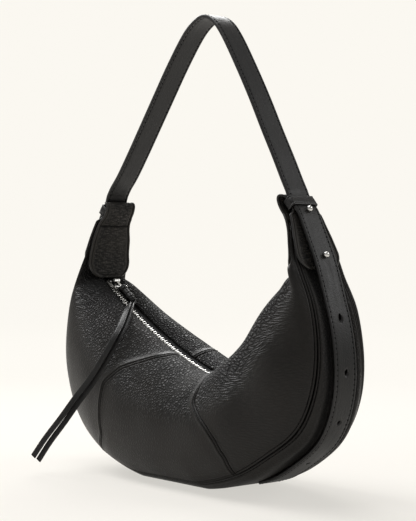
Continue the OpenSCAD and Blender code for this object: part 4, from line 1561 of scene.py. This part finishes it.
    def barrel(self) -> None:
        """Makes the leather barrel: a lapped roll with two raised bands and a drawn-in neck.

        Its radius depends on the way along it and, at the lap, on the angle round it.
        """
        _, along, up = self.slider_frame()
        s = np.linspace(0.0, self.barrel_length, 93)
        turn = np.linspace(0.0, 2.0 * math.pi, 48, endpoint=False)
        ends = 0.9 * (1.0 - ramp(s, 0.0, 1.0)) + 0.9 * ramp(s, self.barrel_length - 3.5, self.barrel_length)
        bands = (0.5 * (ramp(s, 0.2, 0.8) - ramp(s, 4.6, 5.3))
                 + 0.4 * (ramp(s, 13.2, 13.9) - ramp(s, 17.6, 18.3)))
        grooves = sum(deep * bump_curve(s, place, width) for deep, place, width in self.barrel_grooves)
        lap = 0.28 * (1.0 - np.mod((turn + 2.2) / (2 * math.pi), 1.0)) - 0.14
        radius = (self.barrel_radius - 0.5 + bands - grooves - ends)[:, None] + lap
        # the first and the last ring are drawn in over the flat ends
        radius = np.concatenate([0.35 * radius[:1], radius, 0.35 * radius[-1:]])[..., None]
        s = np.concatenate([[0.0], s, [self.barrel_length]])
        centre = self.barrel_foot()
        rings = (centre + along * s[:, None, None] + ACROSS * radius * np.cos(turn)[:, None]
                 + up * radius * np.sin(turn)[:, None])
        points = np.concatenate([rings.reshape(-1, 3), [centre, centre + along * self.barrel_length]])
        n = 48 * len(rings)
        ring = np.arange(48)
        after = np.roll(ring, -1)
        faces = [quads(len(rings), 48, ring=True), np.stack([after, ring, np.full(48, n)], -1),
                 np.stack([ring + n - 48, after + n - 48, np.full(48, n + 1)], -1)]
        lies = np.stack(np.meshgrid(s, turn * 4.0, indexing="ij"), -1).reshape(-1, 2)
        shape = Shape(points, turned_out(points, faces), np.concatenate([lies, np.zeros((2, 2))]))
        self.shop.piece("pull_barrel_leather", shape, "waxed_and_shaded", "strap_leather", ["pull_wrap"], body="pull")

    def thongs(self) -> None:
        """Makes the thong's two plies, which fan out a little towards their free ends."""
        route = smooth_line(self.thong, 10)
        share = np.linspace(0.0, 1.0, 150)
        route = resample(route, share * lengths(route)[-1])[0]
        ahead = unit(np.gradient(route, axis=0))
        across = unit(np.cross(ahead, self.thong_face))
        normal = np.cross(across, ahead)
        half = self.thong_width / 2.0 * (0.75 + 0.25 * np.minimum(share * 6.0, 1.0))
        for name, sign in (("upper", 1.0), ("lower", -1.0)):
            lift = sign * (self.thong_thick + self.ply_gap) / 2.0
            line = route + normal * lift + across * (sign * (0.9 + 2.1 * share))[:, None]
            belt = Belt(line, across, half, self.thong_thick, channels=((0.9, 0.3, 0.12),), middle=5)
            made = self.shop.piece(f"thong_{name}_strip", belt.build(), "strap", "strap_leather",
                                   [f"thong_{name}_ply"], body="")
            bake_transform(made)
        _, along, up = self.slider_frame()
        start = self.barrel_foot() + along * self.barrel_length
        neck = smooth_line([start - along * 2.0, start + along * 1.5, route[1], route[3]], 8)
        # lifted, so that it clears the front panel where the zip's travel ends
        neck = neck + up * np.linspace(0.0, 0.9, len(neck))[:, None]
        across = unit(np.cross(unit(np.gradient(neck, axis=0)), self.thong_face))
        belt = Belt(neck, across, np.linspace(2.6, 2.2, len(neck)), 2.0, middle=3)
        made = self.shop.piece("thong_neck", belt.build(), "strap", "strap_leather", body="")
        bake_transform(made)

    def build(self) -> None:
        """Makes all parts of the zip."""
        for make in (self.tapes, self.chain, self.metal, self.barrel, self.thongs):
            make()


# Horns and strap


@dataclass(frozen=True)
class HornFrame:
    """Frame of a horn's tip in the plane y = 0, in which places are (out, up)."""

    form: BagForm
    horn: Horn
    lean_right: float = 26.6
    foot_down: float = 40.0
    fold_drop: float = 3.8

    @property
    def lean(self) -> float:
        """Angle between the horn and the vertical, in radians."""
        return math.radians(self.lean_right - (self.form.upright if self.horn is Horn.LEFT else 0.0))

    @property
    def drop(self) -> float:
        """How much lower the fold of the tab sits on this horn."""
        return self.fold_drop if self.horn is Horn.LEFT else 0.0

    def beside_fold(self, line: Array) -> Array:
        """Places on the strap beside the fold: the left one goes down with its fold.

        Args:
            line: (out, up) pairs.

        Returns:
            The places.
        """
        up = line[:, 1]
        down = self.drop * ramp(up, 0.0, 11.0) * (1.0 - ramp(up, 24.0, 30.0))
        return np.stack([line[:, 0], up - down], 1)

    def mirrored(self, points: Array) -> Array:
        """Brings places drawn for the right horn to this horn."""
        return points * np.array([float(self.horn.value), 1.0, 1.0])

    def place(self, line: Array) -> Array:
        """Turns (out, up) pairs into places in space for this horn.

        Args:
            line: (out, up) pairs.

        Returns:
            The places.
        """
        c, s = math.cos(self.lean), math.sin(self.lean)
        out, up = line[:, 0], line[:, 1] + self.foot_down
        x = self.form.horn_foot[0] + out * c - up * s
        z = self.form.horn_foot[1] + out * s + up * c
        return self.mirrored(np.stack([x, 0.0 * x, z], -1))

    def outward(self) -> Array:
        """Direction away from the bag's middle, square to the horn."""
        return self.mirrored(np.array([math.cos(self.lean), 0.0, math.sin(self.lean)]))

    def upward(self) -> Array:
        """Direction up along the horn."""
        return self.mirrored(np.array([-math.sin(self.lean), 0.0, math.cos(self.lean)]))


@dataclass
class HornTop:
    """Folded leather tab over the tip of a horn, with its keeper, studs and screws."""

    form: BagForm
    shop: Workshop
    horn: Horn
    line_right: Table = (
        (-17.5, -46), (-15.6, -41), (-13.4, -34), (-9.2, -26), (-5.9, -13.6), (-4.3, -3),
        (-4, 3), (-4.3, 8), (-5.6, 13.5), (-6.8, 19), (-7.2, 24), (-6.5, 28), (-4.4, 29.4),
        (-2.5, 27), (-1.9, 23), (-1, 20), (0.15, 16), (0.75, 12), (0.9, 8), (0.9, 4), (0.65, 0),
        (0, -12), (-0.8, -24), (-1.35, -33.5), (-1.4, -43))
    line_left: Table = (
        (-15.4, -50.5), (-13.6, -46.5), (-10.8, -40), (-8.5, -34), (-6.2, -26), (-4.75, -13.6),
        (-3.3, -3), (-3.2, 2), (-3.9, 6), (-5.6, 10.5), (-7.1, 15.5), (-7.6, 20.2),
        (-6.8, 24.2), (-4.6, 25.5), (-2.5, 23.2), (-1.9, 19.2), (-1, 16.2), (0.15, 12.2),
        (0.75, 8.2), (0.9, 5), (0.9, 2), (0.65, -2), (0, -12), (-0.8, -24), (-0.9, -33.5),
        (0.3, -43))
    thick: float = 1.6
    neck_half: float = 17.6
    waist_half: float = 13.1
    half: float = 25.0
    corner: float = 15.0
    keeper_at: tuple[float, float] = (0.92, 20.0)
    keeper_tilt: float = 15.0
    keeper_inside: tuple[float, float] = (6.6, 27.0)
    keeper_thick: float = 1.4
    keeper_width: float = 10.0
    stud_places: Table = ((3.45, 11.0), (3.9, -32.5))
    strap_thick: float = 3.0
    stud_head: float = 5.6
    head_up: float = 1.4
    screw: Table = ((0, 0.15), (1.3, 0.0), (1.6, 0.25), (1.6, 7.45), (0, 7.45))
    screw_in: float = 4.2
    row_inset: float = 2.7
    tunnel_groove: tuple[float, float] = (1.1, 0.5)
    # heights along the horn, left and right: inner foot, outer foot, tunnel row, end of the rows
    feet: Table = ((-49.0, -43.0), (-42.0, -42.0))
    tunnel_up: tuple[float, float] = (2.0, 5.0)
    rows_up: tuple[float, float] = (6.0, 8.0)
    neck_up: tuple[float, float] = (13.0, 12.5)
    keeper_corner: float = 1.7
    stitches: tuple[float, float, float] = (4.0, 2.4, 1.0)

    def __post_init__(self) -> None:
        """Sets the name, left or right, and the frame of the tip."""
        self.name, self.tip = self.horn.name.lower(), HornFrame(self.form, self.horn)

    def half_width(self, up: Array, foot: float, neck: float, start: float) -> Array:
        """Half width of a leg of the tab: a neck that widens to a foot with round corners.

        Args:
            up: heights along the leg.
            foot: height of its foot.
            neck: half width of the neck.
            start: height at which the neck starts.

        Returns:
            The half widths.
        """
        bend = foot + self.corner
        straight = np.interp(up, [bend, -13.0, -3.0, start - 3.5, start],
                             [self.half, self.half - 2.2, self.neck_half + 3.0, self.neck_half + 0.8, neck])
        down = np.minimum(up - bend, 0.0)
        round_part = self.half - self.corner + np.sqrt(np.maximum(self.corner**2 - down**2, 0.0))
        return np.where(up < bend, round_part, straight)

    def tab(self) -> None:
        """Makes the tab as one band over the tip, with stitches round its border."""
        hand = 0 if self.horn is Horn.LEFT else 1
        flat = smooth_line((self.line_left, self.line_right)[hand], 14)
        ahead = unit(np.gradient(flat, axis=0))
        flat = flat + np.stack([-ahead[:, 1], ahead[:, 0]], -1) * self.thick / 2.0
        crest = int(np.argmax(flat[:, 1]))
        feet = [foot[hand] for foot in self.feet]
        inner = (np.arange(len(flat)) < crest) & (flat[:, 1] > feet[0])
        outer = (np.arange(len(flat)) >= crest) & (flat[:, 1] > feet[1])
        flat = flat[inner | outer]
        total = lengths(flat)[-1]
        flat = resample(flat, graded(total, 0.12, 0.12, 0.62) * total)[0]
        crest = int(np.argmax(flat[:, 1]))
        leg = np.arange(len(flat)) < crest
        waist = self.neck_up[1] - self.tip.drop
        half = np.where(leg, self.half_width(flat[:, 1], feet[0], self.neck_half, self.neck_up[0]),
                        self.half_width(flat[:, 1], feet[1], self.waist_half, waist))
        over = ramp(lengths(flat) - lengths(flat)[crest], 1.0, 5.0)
        half = np.where(leg | (flat[:, 1] > waist), self.neck_half + (half - self.neck_half) * np.where(
            leg, 1.0, over), half)
        route = self.tip.place(flat)
        belt = Belt(route, -self.horn.value * ACROSS, half, self.thick,
                    channels=((self.row_inset, 0.7, 0.55),), middle=13, edge=0.8, crown=0.45, rim=0.3,
                    flap=True)
        shape = belt.build()
        shape.uv = shape.uv[:, ::-1]
        ring = len(shape.points) // len(route)
        reach = np.repeat(half, ring) - np.abs(shape.points[:, 1])
        # the row that closes the tunnel for the strap, across the inner leg, draws the leather in
        k = int(np.argmin(np.where(leg, np.abs(flat[:, 1] - self.tunnel_up[hand]), 99.0)))
        drawn = np.repeat(bump_curve(belt.along, belt.along[k], self.tunnel_groove[0]), ring)
        drawn = drawn * ramp(reach, self.row_inset - 1.0, self.row_inset)
        normal = np.repeat(belt.normal, ring, axis=0)
        height = ((shape.points - np.repeat(route, ring, axis=0)) * normal).sum(axis=1)
        shape.points = shape.points - normal * (np.sign(height) * self.tunnel_groove[1] * drawn)[:, None]
        # painted shade along the stitch channel and across the tunnel row
        groove = 0.9 * bump_curve(reach, self.row_inset, 0.75)
        shape.values = {"grain": 0.35 * ramp(reach, 3.2, 6.0), "crease": 0.45 * ramp(reach, 3.2, 7.0),
                        "groove": np.maximum(groove, 0.9 * drawn)}
        self.shop.piece(f"tab_{self.name}_leather", shape, "tab", "leather", [f"tab_{self.name}"])
        neck = self.rows_up[hand]
        inner_start = belt.along[leg][np.argmin(np.abs(flat[leg, 1] - neck - 2.0))]
        outer_start = belt.along[~leg][np.argmin(np.abs(flat[~leg, 1] - neck))]
        thread = Sewing(self.shop, f"tab_{self.name}", "leather", *self.stitches)
        thread.row(*belt.border_line(self.row_inset, inner_start, 0.0))
        thread.row(*belt.border_line(self.row_inset, outer_start, belt.along[-1]))
        side = np.linspace(-1.0, 1.0, 9) * (half[k] - self.row_inset)
        thread.row(*belt.spots(np.full(9, belt.along[k]), side, 5.0, True))
        thread.build()

    def keeper(self) -> None:
        """Makes the keeper: a closed loop, a rounded rectangle in its own plane, with two creases."""
        reach = np.array(self.keeper_inside) / 2.0 + self.keeper_thick / 2.0
        turn = np.linspace(0.0, 2.0 * math.pi, 120, endpoint=False)
        way = np.stack([np.cos(turn), np.sin(turn)], -1)
        loop = np.sign(way) * (reach - self.keeper_corner) + self.keeper_corner * way
        closed = np.concatenate([loop, loop[:1]])
        loop = resample(closed, np.linspace(0.0, lengths(closed)[-1], 180, endpoint=False))[0]
        tilt = math.radians(self.keeper_tilt)
        outward, upward = self.tip.outward(), self.tip.upward()
        across_loop = math.cos(tilt) * outward + math.sin(tilt) * upward
        width_way = -math.sin(tilt) * outward + math.cos(tilt) * upward
        centre = self.tip.place(np.array([self.keeper_at]) - [0.0, self.tip.drop])[0]
        route = centre + loop[:, :1] * across_loop + loop[:, 1:] * ACROSS
        belt = Belt(route, width_way, self.keeper_width / 2.0, self.keeper_thick,
                    channels=((2.0, 0.5, 0.3),), middle=3, closed=True, edge=0.65, rim=0.1)
        self.shop.piece(f"keeper_{self.name}_leather", belt.build(), "strap", "strap_leather",
                        [f"keeper_{self.name}"])

    def studs(self) -> None:
        """Makes the round-headed studs and the slotted screws behind them."""
        outward = self.tip.outward()
        heads, screws = [], []
        ball = self.stud_head / 2.0
        angle = np.linspace(-math.asin(self.head_up / ball), math.pi / 2.0, 12)
        dome = [(ball * math.cos(a), self.head_up + ball * math.sin(a)) for a in angle[:-1]]
        profile = [(0, 0), (ball * math.cos(angle[0]) - 0.25, 0), *dome, (0, self.head_up + ball)]
        for spot in self.stud_places:
            here = self.tip.place(self.tip.beside_fold(np.array([spot], float)))[0]
            heads.append(revolved(profile, here + outward * (self.strap_thick + 0.45), outward, 32))
            screws.append(revolved(self.screw, here - outward * self.screw_in, outward, 24))
        for kind, group in (("studs", heads), ("stud_screws", screws)):
            self.shop.piece(f"{kind}_{self.name}_metal", joined(group), "chrome", "hardware",
                            [f"{kind}_{self.name}"], crisp=60.0)

    def build(self) -> None:
        """Makes everything at this horn's tip."""
        self.tab()
        self.keeper()
        self.studs()


@dataclass
class ShoulderStrap:
    """One leather strap from the base up one horn, over the top and down the other."""

    form: BagForm
    shop: Workshop
    width: float = 25.0
    thick: float = 3.0
    hole: float = 4.2
    row_inset: float = 2.6
    top: Table = (
        (-0.45, 30.4), (-0.3, 26), (0.1, 22.5), (1.1, 19), (2.4, 15), (3.5, 11), (4, 6), (4, 0),
        (4, -18), (3.9, -32), (3.3, -42), (2, -53))
    arch: Table = (
        (-131.3, 264.6), (-125.6, 272), (-114, 284), (-97, 305), (-78.5, 329), (-57, 357),
        (-36, 384), (-14, 409), (1, 420), (15, 424), (28.5, 418), (42, 403), (61, 374), (78.5, 345),
        (94, 317), (107.2, 294), (113.8, 282), (119.5, 271.5), (125.4, 261.3))
    tail: tuple[float, float] = (7.0, 1.9)
    hole_stations: tuple[float, ...] = (6.9, 5.75, 4.55, 3.1)

    def tail_route(self, horn: Horn) -> Array:
        """Middle line of a tail from the arch down to the base, in the plane y = 0.

        Args:
            horn: the horn that it comes down.

        Returns:
            The line's points.
        """
        frame_of = HornFrame(self.form, horn)
        upper = frame_of.place(frame_of.beside_fold(smooth_line(self.top, 6)))
        u = float(horn.value) * np.linspace(*self.tail, 60)
        lower = self.form.gusset(u, 0.0 * u, -0.4)
        inner = np.concatenate([upper, lower])
        ahead = unit(np.gradient(inner, axis=0))
        out = np.cross(ACROSS, ahead) * -float(horn.value)
        # the end is pared and let into the seam of the base
        left = lengths(inner)[-1] - lengths(inner)
        return inner + out * (self.thick / 2.0 * (0.15 + 0.85 * ramp(left, 1.0, 22.0)))[:, None]

    def route(self) -> Array:
        """Middle line of the whole strap, from the left end over the top to the right end.

        Returns:
            The line's points, about 1.6 mm apart.
        """
        line = np.array(self.arch)
        arch = smooth_line(np.stack([line[:, 0], 0.0 * line[:, 0], line[:, 1]], -1), 6)
        whole = np.concatenate([self.tail_route(Horn.LEFT)[::-1], arch, self.tail_route(Horn.RIGHT)])
        step = np.linalg.norm(np.diff(whole, axis=0), axis=1) > 0.4
        whole = whole[np.concatenate([[True], step])]
        total = lengths(whole)[-1]
        return resample(whole, np.linspace(0.0, total, int(total / 1.6)))[0]

    def punch(self, strap: bpy.types.Object) -> None:
        """Cuts the adjusting holes with round cutters and keeps the result as the mesh.

        Args:
            strap: the strap's object.
        """
        cutters = []
        for horn in Horn:
            for station in self.hole_stations:
                u = np.array([float(horn.value) * station])
                centre = self.form.gusset(u, 0.0 * u, 0.0)[0]
                way = centre - self.form.gusset(u, 0.0 * u, 1.0)[0]
                cutters.append(revolved([(0, -8), (self.hole / 2, -8), (self.hole / 2, 12), (0, 12)],
                                        centre, way, 28))
        cutter = self.shop.piece("punch", joined(cutters), "edge", "")
        cut = strap.modifiers.new("holes", "BOOLEAN")
        cut.operation = "DIFFERENCE"
        cut.solver = "EXACT"
        cut.object = cutter
        bpy.context.view_layer.update()
        result = bpy.data.meshes.new_from_object(strap.evaluated_get(bpy.context.evaluated_depsgraph_get()))
        strap.modifiers.clear()
        strap.data = result
        bpy.data.objects.remove(cutter)

    def build(self) -> None:
        """Makes the strap, its holes and the stitches along both edges of both faces."""
        route = self.route()
        belt = Belt(route, ACROSS, self.width / 2.0, self.thick,
                    channels=((self.row_inset, 0.6, 0.18),), middle=9, edge=0.9, rim=0.12)
        made = self.shop.piece("shoulder_strap_leather", belt.build(), "strap", "strap_leather", body="")
        self.punch(made)
        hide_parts("strap_tail_left", "strap_bend_left", "strap_arch", "strap_bend_right",
                    "strap_tail_right")
        thread = Sewing(self.shop, "shoulder_strap", "strap_leather", 4.4, 2.5, 1.15, body="")
        for top in (False, True):
            for right in (False, True):
                thread.row(*belt.edge_line(self.row_inset, top, right))
        for part in (made, *thread.build()):
            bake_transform(part)


# Studio


@dataclass(frozen=True)
class Backdrop(Finish):
    """Seamless cream paper: matt under the lamps, and plain cream where the camera looks at it."""

    def surface(self, add: AddNode) -> bpy.types.Node:
        """Mix of paper and its own light; near the bag the camera sees more of the paper.

        Args:
            add: add_node for the material's own tree.

        Returns:
            The shader.
        """
        path = add("LightPath")
        paper = add("BsdfDiffuse", {"Color": colour("#e6e2dc")})
        lit = add("Emission", {"Color": colour(CREAM), "Strength": 1.0})
        place = add("TexCoord")
        away = add("VectorMath", {0: (place, "Object")}, operation="LENGTH")
        share = add("MapRange", {"Value": (away, "Value"), "From Min": 0.25, "From Max": 1.1,
                                 "To Min": 0.62, "To Max": 0.97}, interpolation_type="SMOOTHSTEP")
        mirrored = add("Math", {0: (path, "Is Glossy Ray"), 1: 0.45}, operation="MULTIPLY")
        direct = add("Math", {0: (path, "Is Camera Ray"), 1: (mirrored, 0)}, operation="MAXIMUM")
        seen = add("Math", {0: (direct, 0), 1: (share, 0)}, operation="MULTIPLY")
        return add("MixShader", {0: (seen, 0), 1: (paper, 0), 2: (lit, 0)})


@dataclass
class Studio:
    """Pale floor that curves up behind, soft lamps and the camera at the photograph's angle."""

    camera_turn: float = 50.0
    # name, place and size in metres, power in watts, and the height on the z axis it is turned to
    lamps: tuple[tuple, ...] = (
        ("soft box behind left", (-1.5, 1.2, 1.75), 1.2, 36.0, 0.15),
        ("soft box above", (-0.3, -0.3, 1.8), 1.1, 14.0, 0.1),
        ("soft box left", (-1.75, -0.3, 1.6), 0.9, 31.0, 0.15),
        ("soft box behind right", (1.4, 1.5, 1.3), 1.0, 10.0, 0.15))
    camera_far: float = 1.291
    camera_up: float = 0.215
    focal_px: float = 1400.0
    frame_px: tuple[int, int] = (416, 521)
    principal_px: tuple[float, float] = (202.5, 246.0)

    def floor(self) -> None:
        """Makes the floor and the backdrop as one swept sheet."""
        reach, rise, radius = 6000.0, 5000.0, 700.0
        bend = np.linspace(-math.pi / 2.0, 0.0, 13)
        far = np.concatenate([[-reach, -2500.0], 2500.0 + radius * np.cos(bend), [3200.0]])
        high = np.concatenate([[0.0, 0.0], radius + radius * np.sin(bend), [rise]])
        x = np.linspace(-reach, reach, 9)[:, None]
        turn = math.radians(self.camera_turn)
        c, s = math.cos(turn), math.sin(turn)
        grid = np.stack(np.broadcast_arrays(x * c - far * s, x * s + far * c, high - 0.4), -1)
        mesh = bpy.data.meshes.new("backdrop")
        mesh.from_pydata((grid.reshape(-1, 3) * MM).tolist(), [], quads(9, len(far)).tolist())
        mesh.polygons.foreach_set("use_smooth", np.ones(len(mesh.polygons), bool))
        mesh.materials.append(Backdrop("seamless paper backdrop").material())
        linked("backdrop", mesh)

    def lamp(self, name: str, place: Sequence[float], size: float, power: float, aim: float) -> None:
        """Hangs one square soft lamp, turned to a height in the middle of the bag.

        Args:
            name: the lamp's name.
            place: where it hangs, in metres.
            size: length of its sides.
            power: in watts.
            aim: height that it is turned to.
        """
        light = bpy.data.lights.new(name, "AREA")
        light.shape = "SQUARE"
        light.size = size
        light.energy = power
        lamp = linked(name, light)
        lamp.location = place
        lamp.rotation_euler = (Vector((0.0, 0.0, aim)) - Vector(place)).to_track_quat("-Z", "Y").to_euler()

    def camera(self) -> None:
        """Sets the camera where the photograph was taken from."""
        turn = math.radians(self.camera_turn)
        data = bpy.data.cameras.new("camera")
        data.sensor_width = 36.0
        data.lens = self.focal_px / self.frame_px[1] * 36.0
        data.shift_x = (self.frame_px[0] / 2.0 - self.principal_px[0]) / self.frame_px[1]
        data.shift_y = (self.principal_px[1] - self.frame_px[1] / 2.0) / self.frame_px[1]
        data.clip_start, data.clip_end = 0.05, 50.0
        camera = linked("camera", data)
        camera.location = (self.camera_far * math.sin(turn), -self.camera_far * math.cos(turn),
                           self.camera_up)
        camera.rotation_euler = (math.pi / 2.0, 0.0, turn)
        bpy.context.scene.camera = camera

    def build(self) -> None:
        """Makes floor, lamps, world and camera."""
        scene = bpy.context.scene
        scene.view_settings.view_transform = "Standard"
        world = bpy.data.worlds.new("studio")
        scene.world = world
        world.use_nodes = True
        world.node_tree.nodes.clear()
        add = partial(add_node, world.node_tree)
        path = add("LightPath")
        mirrored = add("Math", {0: (path, "Is Glossy Ray"), 1: 0.25}, operation="MULTIPLY")
        seen = add("Math", {0: (path, "Is Camera Ray"), 1: (mirrored, 0)}, operation="MAXIMUM")
        room = add("Background", {"Color": colour("#f3f4f6"), "Strength": 0.22})
        cream = add("Background", {"Color": colour(CREAM), "Strength": 1.0})
        mix = add("MixShader", {0: (seen, 0), 1: (room, 0), 2: (cream, 0)})
        add("OutputWorld", {0: (mix, 0)})
        self.floor()
        for row in self.lamps:
            self.lamp(*row)
        self.camera()


def main() -> None:
    """Builds the bag class by class, then the studio."""
    logging.basicConfig(level=logging.INFO, format="%(name)s %(message)s")
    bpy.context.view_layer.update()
    form = BagForm()
    shop = Workshop(finishes())
    for part in (Shell(form, shop), Inside(form, shop), Zip(form, shop), HornTop(form, shop, Horn.LEFT),
                 HornTop(form, shop, Horn.RIGHT), ShoulderStrap(form, shop)):
        part.build()
        LOG.info("%s built", type(part).__name__)
    Studio().build()


if __name__ == "__main__":
    main()
